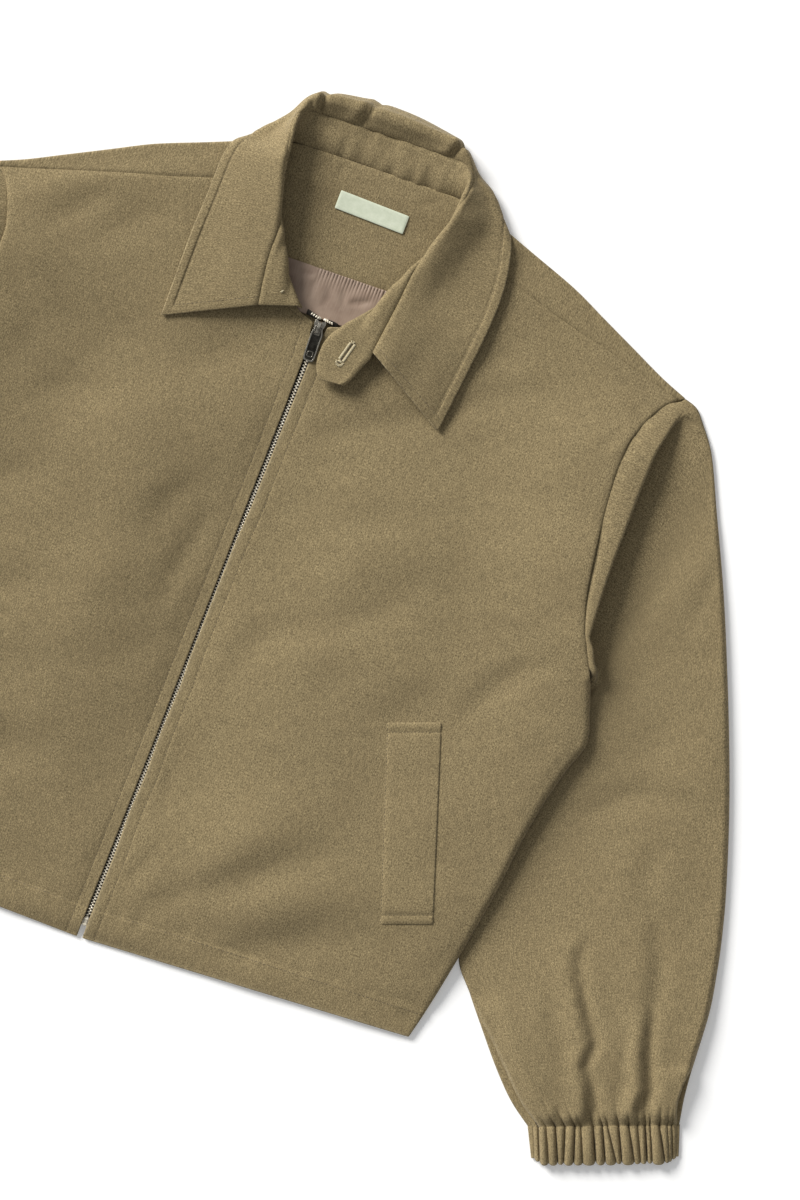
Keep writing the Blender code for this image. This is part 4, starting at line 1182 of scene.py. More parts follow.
@dataclass
class Back:
    """The back, on the table, brought over both shoulders to the forward seams."""

    wall: float = 1.3
    columns_half: int = 92
    low_rows: int = 70
    over_rows: int = 16
    # h and v of the forward seam's inner end, and v of its outer end
    forward_seam: tuple = Front.rows[-1]

    def share_point(self, share_out: Array, row_v: Array) -> tuple:
        """Places of the lower layer.

        Args:
            share_out: shares of the width, from the middle out.
            row_v: v of the rows at the side.

        Returns:
            h and v of each place.
        """
        low_v = LAY.hem_outer_v + LAY.back_shorter
        share_up = (row_v - low_v) / (LAY.tip_v - low_v)
        edge = np.where(row_v <= LAY.side_top_v, LAY.edge_h(LAY.side_edge, row_v),
                        LAY.edge_h(LAY.back_armhole, row_v) - LAY.seam)
        column_h = share_out * LAY.edge_h(LAY.back_armhole, LAY.tip_v)
        hem_v = mix(LAY.hem_inner_v, LAY.hem_outer_v, np.minimum(1, column_h / 200)) + LAY.back_shorter
        top_v = self.top_v(column_h) - np.where(column_h >= LAY.neck_half_width - 0.01, LAY.turn, 0.0)
        return edge * share_out, mix(hem_v, top_v, share_up)

    def top_v(self, h: Array) -> Array:
        """Top of the lower layer: the shoulder fold, or the neckline between them."""
        drop = LAY.neck_top_v - LAY.shoulder_v(LAY.neck_half_width)
        neck = LAY.neck_top_v - drop * (h / LAY.neck_half_width) ** 6
        return np.where(h >= LAY.neck_half_width - 0.01, LAY.shoulder_v(h), neck)

    def forward_seam_v(self, h: Array) -> Array:
        """The seam where the back, brought over the shoulder, meets the front."""
        inner_h, inner_v, outer_v = self.forward_seam
        outer_h = LAY.edge_h(LAY.armhole, outer_v) - LAY.seam
        return mix(inner_v, outer_v, (h - inner_h) / (outer_h - inner_h)) + LAY.seam

    def half_shares(self) -> Array:
        """Shares of the width from the middle out, with one at the end of the neck seam."""
        neck = LAY.neck_half_width / LAY.edge_h(LAY.back_armhole, LAY.tip_v)
        inner = np.linspace(0, neck, int(self.columns_half * neck) + 1)
        outer = np.linspace(neck, 1, self.columns_half - len(inner) + 1)
        return np.concatenate([inner, outer[1:]])

    def lower(self) -> Patch:
        """The layer on the table.

        Returns:
            Its grid, from side to side.
        """
        half = self.half_shares()
        row_v = np.linspace(LAY.hem_outer_v + LAY.back_shorter, LAY.tip_v, self.low_rows)[:, None]
        h, v = self.share_point(half[None, :], row_v)
        sides = (Side.RIGHT, Side.LEFT)
        return both_sides([LAY.on_side(side, h, v, LAY.back_z(side, h, v)) for side in sides],
                          [grain_of(side.value * h, v) for side in sides])

    def over_shoulder(self, side: Side) -> Patch:
        """The part brought over one shoulder, from the lower layer's last row.

        Args:
            side: the wearer's side.

        Returns:
            Its grid, from the lower layer to the forward seam.
        """
        half = self.half_shares()
        tip_h = LAY.edge_h(LAY.back_armhole, LAY.tip_v)
        shares = half[half >= LAY.neck_half_width / tip_h - 1e-6]
        fold_h = shares * tip_h
        top = self.top_v(fold_h)
        low_z = LAY.back_z(side, fold_h, top)
        start_h, start_v = self.share_point(shares, np.array(LAY.tip_v))
        rows = [(start_h, start_v, LAY.back_z(side, start_h, start_v))]
        for degrees in (-55, -20, 20, 55):
            angle = math.radians(degrees)
            v = top - LAY.turn * (1 - math.cos(angle))
            rows.append((fold_h, v, low_z + LAY.stack * (1 + math.sin(angle)) / 2))
        for step in 1 - np.linspace(1, 0, self.over_rows) ** 1.5:
            tip_row_v = mix(LAY.tip_v - LAY.turn, self.forward_seam[2] + LAY.seam, step)
            h = shares * (LAY.edge_h(LAY.armhole, tip_row_v) - LAY.seam)
            v = mix(top - LAY.turn, self.forward_seam_v(h), step)
            to_seam = v - self.forward_seam_v(h)
            dip = 0.7 * bump(to_seam, 1.1) + 0.7 * bump(h - h[-1], 1.1) * step
            rows.append((h, v, LAY.front_z(side, h, v) - dip))
        h, v, z = (np.stack([row[n] for row in rows]) for n in range(3))
        points = LAY.on_side(side, h, v, z)
        grain = grain_of(side.value * h, 2 * top[None, :] - v)
        return Patch(points[:, ::side.value], grain[:, ::side.value])

    def build(self, finish: Material) -> Piece:
        """Make the back.

        Args:
            finish: the cloth.

        Returns:
            The back, riding on the jacket and standing for its node.
        """
        patches = [self.lower(), self.over_shoulder(Side.RIGHT), self.over_shoulder(Side.LEFT)]
        return make_cloth("back", patches, self.wall, finish, flat=(0.56, 0.63), held="laid", area=0.30)


# ---------------------------------------------------------------- sleeves and cuffs


@dataclass(frozen=True)
class Gathers:
    """The uneven gathers of one elastic cuff, shared with the sleeve above it."""

    flip: bool = False
    height: float = 6.0
    depth: float = 2.9
    turned: float = 1.65
    # place across from the inner edge at the seam and at the cuff's edge, depth, width in mm
    pleats: tuple = (
        (0.034, 0.022, 0.45, 0.7), (0.067, 0.054, 1.0, 0.9), (0.120, 0.112, 0.3, 1.3),
        (0.181, 0.174, 0.95, 0.8), (0.244, 0.215, 0.7, 0.9), (0.309, 0.282, 1.0, 0.8),
        (0.349, 0.345, 0.35, 0.9), (0.430, 0.434, 1.1, 1.1), (0.490, 0.499, 1.0, 0.9),
        (0.526, 0.574, 0.75, 0.8), (0.597, 0.613, 0.95, 0.9), (0.664, 0.698, 0.8, 0.8),
        (0.722, 0.741, 0.4, 1.0), (0.772, 0.785, 1.15, 1.0), (0.805, 0.821, 0.95, 0.8),
        (0.866, 0.906, 0.9, 0.9), (0.918, 0.934, 0.35, 0.8), (0.946, 0.955, 0.85, 0.8),
        (0.984, 0.985, 0.45, 0.7))

    def fold(self, share: Array, down: Array = 0.0, width: float = 108.0, spread: float = 1.0) -> Array:
        """Height of the gathers, from about -1 in the pleats to 1 between them.

        Args:
            share: places across, from the outer to the inner edge.
            down: places down the cuff, from 0 at the seam to 1 at the edge.
            width: the cuff's width, in mm.
            spread: how much wider than in the table each pleat is.

        Returns:
            The heights.
        """
        from_inner = share if self.flip else 1 - share
        places = [mix(row[0], row[1], down + 0 * from_inner) + 0 * from_inner for row in self.pleats]
        height = np.full(np.shape(places[0]), -0.15)
        edges = [np.full_like(places[0], -0.02), *places, np.full_like(places[0], 1.02)]
        for before, after in zip(edges, edges[1:]):
            gap = np.maximum(after - before, 1e-3)
            t = np.clip((from_inner - before) / gap, 0, 1)
            swell = np.clip(gap * width / 7.5, 0.35, 1.0)
            height = height + swell * np.sin(np.pi * t) ** 0.7
        for place, (_, _, depth, broad) in zip(places, self.pleats):
            away = (from_inner - place) * width / (broad * spread)
            height = height - depth * 1.5 * np.exp(-(np.abs(away) ** 1.6))
        return height

    def crown(self, share: Array, down: Array = 0.0, width: float = 108.0) -> Array:
        """Height of the cuff's upper layer, in mm.

        Args:
            share: places across, from the outer to the inner edge.
            down: places down the cuff.
            width: the cuff's width, in mm.

        Returns:
            The heights of the layer's middle.
        """
        rounding = ease(share * width / 8) * ease((1 - share) * width / 8)
        barrel = np.sin(np.pi * np.clip(down * 0.96 + 0.02, 0, 1)) ** 0.6
        crown = mix(self.turned, self.height - 1.4 + 1.4 * barrel, rounding)
        fold = self.fold(share, down, width)
        z = crown + self.depth * fold * rounding * (0.55 + 0.45 * barrel)
        return np.maximum(z, self.turned + self.turned * 0.9 * rounding)


@dataclass
class Sleeve:
    """A sleeve laid flat as a tube, its head folded into a strip beside the armhole seam."""

    side: Side
    creases: tuple
    gathers: Gathers
    wall: float = 1.3
    levels: int = 140
    under_levels: int = 22
    step: float = 2.6
    strip_puff: float = 1.9
    fill: float = 4.2
    cuff_fill: float = 2.6
    beside: float = 3.0
    noise: SoftNoise = field(default_factory=lambda: SoftNoise(23))
    # outer_u, outer_v, inner_u, inner_v
    rows: tuple = (
        (300.0, 471, 276, 266), (321, 425, 270, 250), (343.5, 374, 262, 232), (364, 322.5, 254, 206),
        (381.5, 276, 248, 172), (396.5, 233, 244.5, 138), (409, 193, 244, 104), (420, 153, 248, 65),
        (427.5, 117, 265, 41), (432.5, 80, 283, 18), (433.5, 46, 300, -3), (435, 22, 318, -22),
        (438, 1.5, 335.2, -35.2))
    # outer_u, outer_v, inner_u, inner_v, inner_z
    head_rows: tuple = (
        (271.2, 498.2, 272.2, 282.4, 5.0), (273.2, 497.9, 272.2, 281.4, 4.9),
        (275.5, 497.2, 272.2, 280.2, 4.4), (278, 496.4, 272.2, 278.9, 3.8),
        (280.5, 495.2, 272.3, 277.4, 3.1), (283, 493.4, 272.5, 275.8, 2.4),
        (285.5, 490.6, 272.8, 274.0, 1.9), (289, 486, 273.2, 271.6, 1.6))
    # how far the under layer shows past the upper one, by distance from the cuff seam in mm
    inner_strip: Curve = Curve((0, 8.5), (12, 7.5), (34, 7.0), (60, 5.5), (85, 2.5), (108, 0.0))
    outer_strip: Curve = Curve((0, 2.5), (14, 5.0), (30, 4.0), (44, 0.0))

    def strip_line(self, index: int, level: Array) -> Array:
        """Places down one line of the folded strip.

        Args:
            index: the line, 0 being the armhole seam.
            level: how far down the line, 0 to 1.

        Returns:
            A row of u, v and z for each level.
        """
        outer_u, outer_v, inner_u, inner_v, inner_z = self.head_rows[index]
        v = mix(outer_v, inner_v, level)
        seam, edge, depth = LAY.armhole(v), LAY.fold_edge(v), LAY.fold_depth(v)
        seam_z = LAY.front_z(self.side, seam - LAY.zip_u(v), v)
        low_z = mix(LAY.floor_layer + LAY.stack, seam_z, ease(-depth / 8))
        folded = np.clip(depth / (2 * LAY.turn), -1, 1)
        hidden = edge - depth
        turn_z = (seam_z - low_z) / 4
        u, z = (
            (seam, seam_z - 0.7),
            (np.where(depth < 0, mix(seam, edge, 0.6), mix(seam, edge, 0.5)), seam_z),
            (edge, seam_z - np.minimum(turn_z, 0.6)),
            (edge - LAY.turn * folded, (seam_z + low_z) / 2),
            (hidden + LAY.turn * folded, (seam_z + low_z) / 2),
            (hidden, low_z + turn_z),
            (hidden + LAY.turn, low_z),
            (np.maximum(edge, hidden) + 7, low_z),
        )[index]
        puff = self.strip_puff * ease((depth + 4) / 13) * (0.9 + 0.1 * np.sin(v / 17))
        z = z + puff * (0.0, 0.72, 0.92, 0.62, 0.42, 0.40, 0.40, 0.36)[index]
        at_ends = 1 - ease(level / 0.04) * ease((1 - level) / 0.05)
        end_u = mix(outer_u, inner_u, level)
        z = mix(z, mix(LAY.floor_layer + LAY.stack, inner_z + LAY.stack / 2, level), at_ends)
        return np.stack([mix(u, end_u, at_ends), v, z], axis=-1)

    def air(self, u: Array, v: Array, from_outer: Array, from_inner: Array, to_cuff: Array) -> Array:
        """The air under the upper layer, which stays low beside the body.

        Args:
            u: places across the lay.
            v: places up the lay.
            from_outer: distance from the outer edge.
            from_inner: distance from the inner edge.
            to_cuff: distance from the cuff.

        Returns:
            Heights in mm.
        """
        cover = np.where(v > LAY.side_top_v, LAY.fold_edge(v), LAY.side_edge(v))
        away = u - cover
        clear = mix(1.0, ease((away - 12) / 95), ease((v + 30) / 150))
        slope = self.beside * ease((v - 110) / 150) * ease((330 - v) / 90) * ease(1 - away / 64)
        full = self.fill + self.cuff_fill * bump(to_cuff - 50, 46)
        return (full * clear + slope) * rounded(from_outer) * ease(from_inner / 22)

    def relief(self, u: Array, v: Array, calm: Array) -> Array:
        """Creases and soft waves on the upper layer.

        Args:
            u: places across the lay.
            v: places up the lay.
            calm: how much of them each place takes.

        Returns:
            Heights to add, in mm.
        """
        wave = self.noise(u, v, 80, 34, 62) * 0.75 + self.noise(u + 300, v, 36, 18, 70) * 0.3
        return calm * (wave + sum(crease.height(u, v) for crease in self.creases))

    def grid(self) -> tuple:
        """Rows along the sleeve and levels round it.

        Returns:
            u, v and z rows, the levels, distance down the sleeve in mm, and 0 in the strip, 1 past it.
        """
        fine = np.linspace(0, 1, self.levels)
        level = mix(fine, ease(fine), 0.4)
        coarse = [self.strip_line(index, level) for index in range(len(self.head_rows))]
        coarse[0][:, 0] += LAY.seam / 2
        strip = len(self.head_rows)
        for outer_u, outer_v, inner_u, inner_v in self.rows:
            u, v = mix(outer_u, inner_u, level), mix(outer_v, inner_v, level)
            coarse.append(np.stack([u, v, coarse[strip - 1][:, 2]], axis=-1))
        coarse = np.array(coarse)
        walked = path_lengths(coarse[:, len(level) // 3, :2])
        gaps = np.diff(walked)
        near = [(walked[n], (0.0, gaps[n] / 3, gaps[n] / 1.5)) for n in range(strip)]
        near.append((walked[-1], (-0.6, -1.4)))
        places = stations(0.0, walked[-1], self.step, near)
        fine_rows = through_rows(walked, coarse, places)
        past = ease((places - walked[strip - 1]) / 84)[:, None]
        return fine_rows, level, places, past

    def build(self, finish: Material) -> Piece:
        """Make the sleeve.

        Args:
            finish: the cloth.

        Returns:
            The sleeve, riding on the jacket and standing for its node.
        """
        rows, level, places, past = self.grid()
        u, v, strip_z = rows[..., 0], rows[..., 1], rows[..., 2]
        length = np.hypot(u[:, 0] - u[:, -1], v[:, 0] - v[:, -1])[:, None]
        from_outer, from_inner = level[None, :] * length, (1 - level[None, :]) * length
        to_cuff = places[-1] - places[:, None]
        inner_strip = self.inner_strip(to_cuff[:, 0])[:, None]
        outer_strip = self.outer_strip(to_cuff[:, 0])[:, None]
        step_in = mix(1.0, ease((from_inner - inner_strip + 0.6) / 1.2), ease(inner_strip / 1.5))
        step_out = mix(1.0, ease((from_outer - outer_strip + 0.6) / 1.2), ease(outer_strip / 1.5))
        turned = LAY.floor_layer + LAY.stack / 2
        flat = LAY.stack / 2
        calm = ease((from_outer - outer_strip) / 14) * ease((from_inner - inner_strip) / 12) * past
        body = self.air(u, v, from_outer, from_inner, to_cuff) * past
        edge_round = rounded(from_outer) * rounded(from_inner)
        gather = self.gathers.fold(level[None, :], spread=1.25) * np.exp(-((to_cuff / 11) ** 1.2))
        above = body + self.relief(u, v, calm) + 0.95 * gather * ease(to_cuff / 3 + 0.5)
        doubled = (ease(inner_strip / 2) * ease(1 - (from_inner - inner_strip) / 42)
                   + ease(outer_strip / 2) * ease(1 - (from_outer - outer_strip) / 42))
        above = (above + LAY.stack * 1.1 * doubled) * np.minimum(step_in, step_out)
        loose = turned + flat * edge_round + np.maximum(above, -0.2) * edge_round
        in_strip = np.clip(strip_z - turned, 0, None)
        z = mix(turned + in_strip * edge_round, loose, past)
        sewn = self.gathers.crown(level[None, :]) - 0.35
        z = mix(z, sewn, np.exp(-((to_cuff / 5) ** 2)))
        under = self.under_layer(u, v, turned)
        ring_u, ring_v, ring_z = (np.concatenate(pair, axis=1) for pair in zip((u, v, z), under))
        tuck = LAY.tuck(self.side, np.maximum(ring_v[:, self.levels - 1:self.levels], -36)) * past
        points = LAY.on_side(self.side, ring_u - LAY.zip_u(ring_v), ring_v, ring_z, tuck)
        middle = len(ring_u) // 2
        round_the_arm = path_lengths(np.stack([ring_u[middle], ring_v[middle]], axis=-1))
        grain = grain_of(round_the_arm[None, :], -places[:, None])
        worn = np.zeros(ring_u.shape)
        folded_in = bump(from_inner - inner_strip - 0.8, 0.9) * ease(inner_strip / 3)
        folded_out = bump(from_outer - outer_strip - 0.8, 0.9) * ease(outer_strip / 3)
        worn[:, :self.levels] = np.maximum(folded_in, folded_out)
        return make_cloth(f"sleeve_{self.side.word}", [Patch(points, grain, True, worn)], self.wall, finish,
                          flat=(0.44, 0.55), held="laid", area=0.135)

    def under_layer(self, u: Array, v: Array, turned: float) -> tuple:
        """The layer on the table, from the inner edge back to the outer one.

        Args:
            u: u over the upper layer.
            v: v over the upper layer.
            turned: height of the middle of a turned edge, in mm.

        Returns:
            u, v and z of the layer.
        """
        share = np.linspace(0, 1, self.under_levels + 2)[1:-1][None, :]
        under_u = mix(u[:, -1:], u[:, :1], share)
        under_v = mix(v[:, -1:], v[:, :1], share)
        distance = np.minimum(share, 1 - share) * 120
        under_z = turned - LAY.stack / 2 * rounded(distance)
        return under_u, under_v, under_z + 0 * under_u


@dataclass
class Cuff:
    """An elastic cuff: gathered above, flat on the table below."""

    side: Side
    gathers: Gathers
    wall: float = 1.5
    width: float = 108.0
    seam: tuple = ((438.4, 1.1), (335.4, -35.7))
    edge: tuple = ((446, -24), (346.5, -59.3))

    def build(self, finish: Material) -> Piece:
        """Make the cuff.

        Args:
            finish: the cloth.

        Returns:
            The cuff, riding on the jacket and standing for its node.
        """
        share = np.linspace(0, 1, 330)[None, :]
        down = np.concatenate([[0, 0.03, 0.07], np.linspace(0.12, 0.9, 22), [0.94, 0.97, 1.0]])[:, None]
        fold = self.gathers.fold(share, down, self.width)
        scallop = 0.055 * (fold - 0.3) * ease((down - 0.55) / 0.45)
        scallop -= 0.03 * (fold - 0.3) * ease((0.3 - down) / 0.3)
        to_side = np.minimum(share, 1 - share) * self.width
        scallop -= 0.17 * ease(1 - to_side / 9) ** 1.5 * ease((down - 0.35) / 0.65)
        outer_u, outer_v = (mix(a, b, down + scallop) for a, b in zip(self.seam[0], self.edge[0]))
        inner_u, inner_v = (mix(a, b, down + scallop) for a, b in zip(self.seam[1], self.edge[1]))
        u, v = mix(outer_u, inner_u, share), mix(outer_v, inner_v, share)
        low = self.wall / 2
        turned = self.gathers.turned
        z = self.gathers.crown(share, down, self.width)
        back = np.linspace(1, 0, 40)[None, 1:-1]
        back_u, back_v = mix(u[:, :1], u[:, -1:], back), mix(v[:, :1], v[:, -1:], back)
        back_z = low + (turned - low) * bump(np.minimum(back, 1 - back) * self.width, 1.0)
        ring_u, ring_v = np.concatenate([u, back_u], axis=1), np.concatenate([v, back_v], axis=1)
        ring_z = np.concatenate([z, back_z + 0 * back_u], axis=1)
        tuck = LAY.tuck(self.side, np.array(-36.0))
        points = LAY.on_side(self.side, ring_u - LAY.zip_u(ring_v), ring_v, ring_z, tuck)
        around = np.concatenate([share[0], 2 - back[0]]) * self.width * 1.6
        grain = grain_of(around[None, :], -down * 26)
        # The gathers' crests take a little of the paler worn tone: a painted highlight on their tops. The
        # cuff's edge is paler with wear.
        crest_highlight = np.zeros(ring_u.shape)
        crest_highlight[:, :share.shape[1]] = 0.12 * ease((fold - 0.5) / 0.6)
        worn = np.maximum(crest_highlight, bump(1 - down, 0.07))
        return make_cloth(f"cuff_{self.side.word}", [Patch(points, grain, True, worn)], self.wall, finish,
                          flat=(0.29, 0.03), held="gathered", area=0.0075)


# ---------------------------------------------------------------- collar


@dataclass
class Collar:
    """The stand with its buttonhole tab, and the leaf that lies out over the fronts."""

    wall: float = 1.5
    seam: float = 1.0
    per_section: int = 10
    stand_points: int = 30
    leaf_points: int = 34
    turned_points: int = 10
    edge_stitch: float = 6.0
    roll_radius: float = 3.0
    lies_on: float = 200.0
    leaf_lift: float = 4.2
    tab_rise: float = 5.0
    tab_lift: float = 2.6
    behind_dip: float = 3.6
    behind_neck: tuple = (8.2, 16.2)
    fold_under: float = 0.8
    fall_right: float = 54.0
    fall_left: float = 26.0
    # section, width in sections, depth in mm
    leaf_dents: tuple = ((9.75, 0.13, 3.2), (10.95, 0.09, 3.0), (12.3, 0.35, 0.7), (13.3, 0.15, 3.0))
    leaf_lowest: float = 1.15
    tab_z: float = 7.6
    smooth_by: float = 1.6
    noise: SoftNoise = field(default_factory=lambda: SoftNoise(41))
    # neck u, v, z, roll u, v, z, stand azimuth, leaf azimuth, turn, rest z, stand width, leaf width
    rows: tuple = (
        (-11.3, 469.8, 5.2, -12.5, 471.0, 9.8, 197.4, 204.8, 200, 7.7, 39, 69.4),
        (-45.5, 503.6, 5.6, -31.5, 500, 14.4, 195, 200, 200, 7.7, 33, 62),
        (-60, 521, 6.1, -39.5, 516, 18.4, 189.5, 192, 200, 7.7, 31, 60.5),
        (-73.5, 539, 6.6, -47, 532, 21.4, 184, 184, 200, 7.8, 30, 58),
        (-75.6, 562, 7.2, -54, 560, 24.0, 175, 175, 200, 8.6, 29, 46),
        (-76.5, 567.5, 6.3, -54.7, 567, 24.0, 168, 168, 35, 8.4, 29, 43),
        (-75.5, 572.9, 6.0, -55.3, 574, 23.2, 160, 160, 28, 7.6, 29, 45),
        (-73.2, 577.6, 5.8, -56, 583, 22.4, 149, 149, 19, 7.2, 28.5, 49),
        (-64.5, 580.6, 5.2, -57, 597, 22.0, 140, 140, 8.5, 7.0, 27, 54),
        (-53, 581.9, 4.8, -53, 611, 18.0, 128, 128, 6.5, 6.8, 26, 55),
        (-38, 582, 4.5, -42, 619, 15.5, 112, 112, 5, 6.4, 26, 55),
        (-11, 582, 4.4, -11, 620, 13.5, 92, 92, 8.7, 6.0, 26, 55),
        (24, 582, 4.4, 24, 619, 13.0, 88, 88, 8.7, 6.0, 26, 55),
        (51, 582, 4.5, 54, 618, 13.5, 70, 70, 5, 6.4, 26, 55),
        (67, 581.9, 4.8, 66, 610, 15.0, 52, 52, 4.5, 6.8, 26, 55),
        (81, 581.2, 5.2, 72, 596, 17.0, 42, 42, 8.8, 7.0, 27, 54),
        (91, 578, 5.9, 72, 583, 19.0, 32, 32, 23, 7.2, 28.5, 52),
        (94, 573, 6.1, 71, 574, 20.0, 21, 21, 31.5, 7.6, 29, 48),
        (95, 567, 6.3, 70, 567, 21.0, 12, 12, 39, 8.4, 29, 47),
        (94.6, 560, 7.0, 68.8, 560, 21.0, 4, 4, 200, 8.6, 29, 51.5),
        (91, 541, 6.3, 61.5, 540, 18.4, -5, -6, 200, 7.8, 30, 66),
        (75.5, 522.8, 6.1, 52.5, 520.5, 16.2, -10.5, -13.5, 200, 7.7, 31, 67.5),
        (59.5, 504.6, 5.6, 43, 501, 13.4, -16, -21, 200, 7.7, 32, 68),
        (21.4, 467.2, 6.4, 19.6, 466.0, 9.4, -19, -31.3, 200, 7.7, 34.7, 72.5))
    # zip-side u, v, outer u, v
    tab_rows: tuple = ((13.4, 453, 47.2, 451.4), (12.2, 446, 44.8, 446.6), (12.0, 439, 42.2, 440.4),
                       (13.4, 432.5, 39.6, 434), (15.6, 428, 37.2, 429.6), (17.6, 425.6, 34.8, 427))

    def section_path(self, row: tuple) -> tuple:
        """One section's path, up from the neck seam to the roll, outward and down to rest.

        Args:
            row: the section's row of the table.

        Returns:
            The path's points, and how far along it the leaf turns under, or None.
        """
        neck, roll = np.array(row[0:3], float), np.array(row[3:6], float)
        stand_az, _, turn, rest_z = row[6:10]
        across = np.array([math.cos(math.radians(stand_az)), math.sin(math.radians(stand_az)), 0])
        incoming = np.array([roll[0] - neck[0], roll[1] - neck[1], 0])
        size = np.linalg.norm(incoming)
        incoming = incoming / size if size > 3 else -across
        fold = (1 - float(incoming @ across)) / 2
        radius = min(self.roll_radius, (roll[2] - neck[2]) / 2)
        path = [neck]
        for degrees in (0, 35, 65, 90, 115, 145, 180):
            angle = math.radians(degrees)
            way = across if degrees > 90 else -incoming
            drop = np.array([0, 0, radius * fold * (1 + math.cos(angle))])
            path.append(roll + way * radius * (1 - math.sin(angle)) - drop)

        def outward(distance: float, z: float) -> Array:
            """A place outward of the roll."""
            return np.array([*(roll + across * distance)[:2], z])

        low_z = self.fold_under
        bend = (rest_z - low_z) / 2
        over_front = turn >= self.lies_on
        falls = self.fall_right if roll[0] < 0 else self.fall_left
        fall = falls if over_front else min(30.0, (turn - bend) * 0.8)
        if fall > radius + 2:
            path.append(outward(mix(radius, fall, 0.5), mix(roll[2], rest_z, 0.42)))
            path.append(outward(fall, mix(roll[2], rest_z, 0.92)))
        if over_front:
            path += [outward(fall + 14, rest_z), outward(turn, rest_z)]
            return np.array(path), None
        path.append(outward(turn - bend, rest_z))
        turn_at = float(path_lengths(np.array(path))[-1])
        for degrees in (60, 30, 0, -30, -60, -90):
            angle = math.radians(degrees)
            path.append(outward(turn - bend + bend * math.cos(angle), low_z + bend + bend * math.sin(angle)))
        path.append(outward(turn - bend - 80, low_z))
        return np.array(path), (turn_at, math.pi * bend)

    def soften(self, path: Array) -> Callable:
        """Read a path by distance, with its corners rounded.

        Args:
            path: the path's points.

        Returns:
            A function from distances to places.
        """
        step = 0.25
        fine = np.arange(0, path_lengths(path)[-1], step)
        places = along_path(path, fine)
        reach = int(4 * self.smooth_by / step)
        weights = np.exp(-((np.arange(-reach, reach + 1) * step / self.smooth_by) ** 2) / 2)
        weights /= weights.sum()
        ahead = 2 * places[0] - places[reach:0:-1]
        after = np.repeat(places[-1:], reach, axis=0)
        padded = np.concatenate([ahead, places, after])
        smooth = np.stack([np.convolve(padded[:, axis], weights, mode="valid") for axis in range(3)],
                          axis=-1)
        return lambda at: np.stack([np.interp(at, fine, smooth[:, axis]) for axis in range(3)], axis=-1)

    def section(self, row: tuple) -> tuple:
        """Read one section's path at the widths of both pieces.

        Args:
            row: the section's row of the table.

        Returns:
            Places in the stand and in the leaf, and how far across each piece they stand.
        """
        stand_az, leaf_az = row[6:8]
        stand_width, leaf_width = row[10:12]
        path, turned = self.section_path(row)
        read = self.soften(path)
        stand_at = np.linspace(0, stand_width - self.seam / 2, self.stand_points)
        turn_at = leaf_width - 6 if turned is None else turned[0] - stand_width
        before = np.linspace(self.seam / 2, turn_at, self.leaf_points)
        after = np.linspace(turn_at, leaf_width, self.turned_points)
        leaf_at = np.concatenate([before, after[1:]])
        leaf = read(stand_width + leaf_at)
        centre = read(np.array([stand_width]))[0]
        swing = math.radians(leaf_az - stand_az)
        du, dv = leaf[:, 0] - centre[0], leaf[:, 1] - centre[1]
        leaf = np.stack([centre[0] + du * math.cos(swing) - dv * math.sin(swing),
                         centre[1] + du * math.sin(swing) + dv * math.cos(swing), leaf[:, 2]], axis=-1)
        return read(stand_at), leaf, stand_at, leaf_at

    def surfaces(self) -> tuple:
        """Lay fine grids through the sections, the stand's with its tab.

        Returns:
            The stand's grid and how far across it each point is, and the same for the leaf.
        """
        stands, leaves, stand_at, leaf_at = map(list, zip(*(self.section(row) for row in self.rows)))
        shares = np.linspace(0, 1, self.stand_points)[:, None]
        for zip_u, zip_v, outer_u, outer_v in self.tab_rows:
            start, end = np.array([zip_u, zip_v, self.tab_z]), np.array([outer_u, outer_v, self.tab_z])
            stands.append(mix(start, end, shares))
            stand_at.append(stand_at[-1])
        count = self.per_section * (len(self.rows) - 1) + 1
        tab_count = self.per_section * (len(stands) - 1) + 1
        leaf = even_rows(np.array(leaves), count)
        leaf[..., 2] = np.maximum(leaf[..., 2], self.leaf_lowest)
        return (even_rows(np.array(stands), tab_count), even_rows(np.array(stand_at), tab_count),
                leaf, even_rows(np.array(leaf_at), count))

    def calm_rows(self, grid: Array, reach: int = 5) -> Array:
        """Even out a grid from section to section, but not at its two ends.

        Args:
            grid: the grid, in mm.
            reach: how many rows are evened out together.

        Returns:
            The evened grid.
        """
        weights = np.exp(-((np.arange(-2 * reach, 2 * reach + 1) / reach) ** 2))
        weights /= weights.sum()
        count = 2 * reach
        ahead, after = 2 * grid[:1] - grid[count:0:-1], 2 * grid[-1:] - grid[-2:-count - 2:-1]
        padded = np.concatenate([ahead, grid, after])
        return sum(w * padded[n:n + len(grid)] for n, w in enumerate(weights))

    def behind(self, sections: Array) -> Array:
        """How far each section belongs to the part behind the neck."""
        first, last = self.behind_neck
        return ease((sections - first) / 1.2) * ease((last - sections) / 1.2)

    def at_right_end(self, sections: Array) -> Array:
        """How near each section comes to the collar's wearer's-right end."""
        return ease((3.4 - sections) / 3.2)

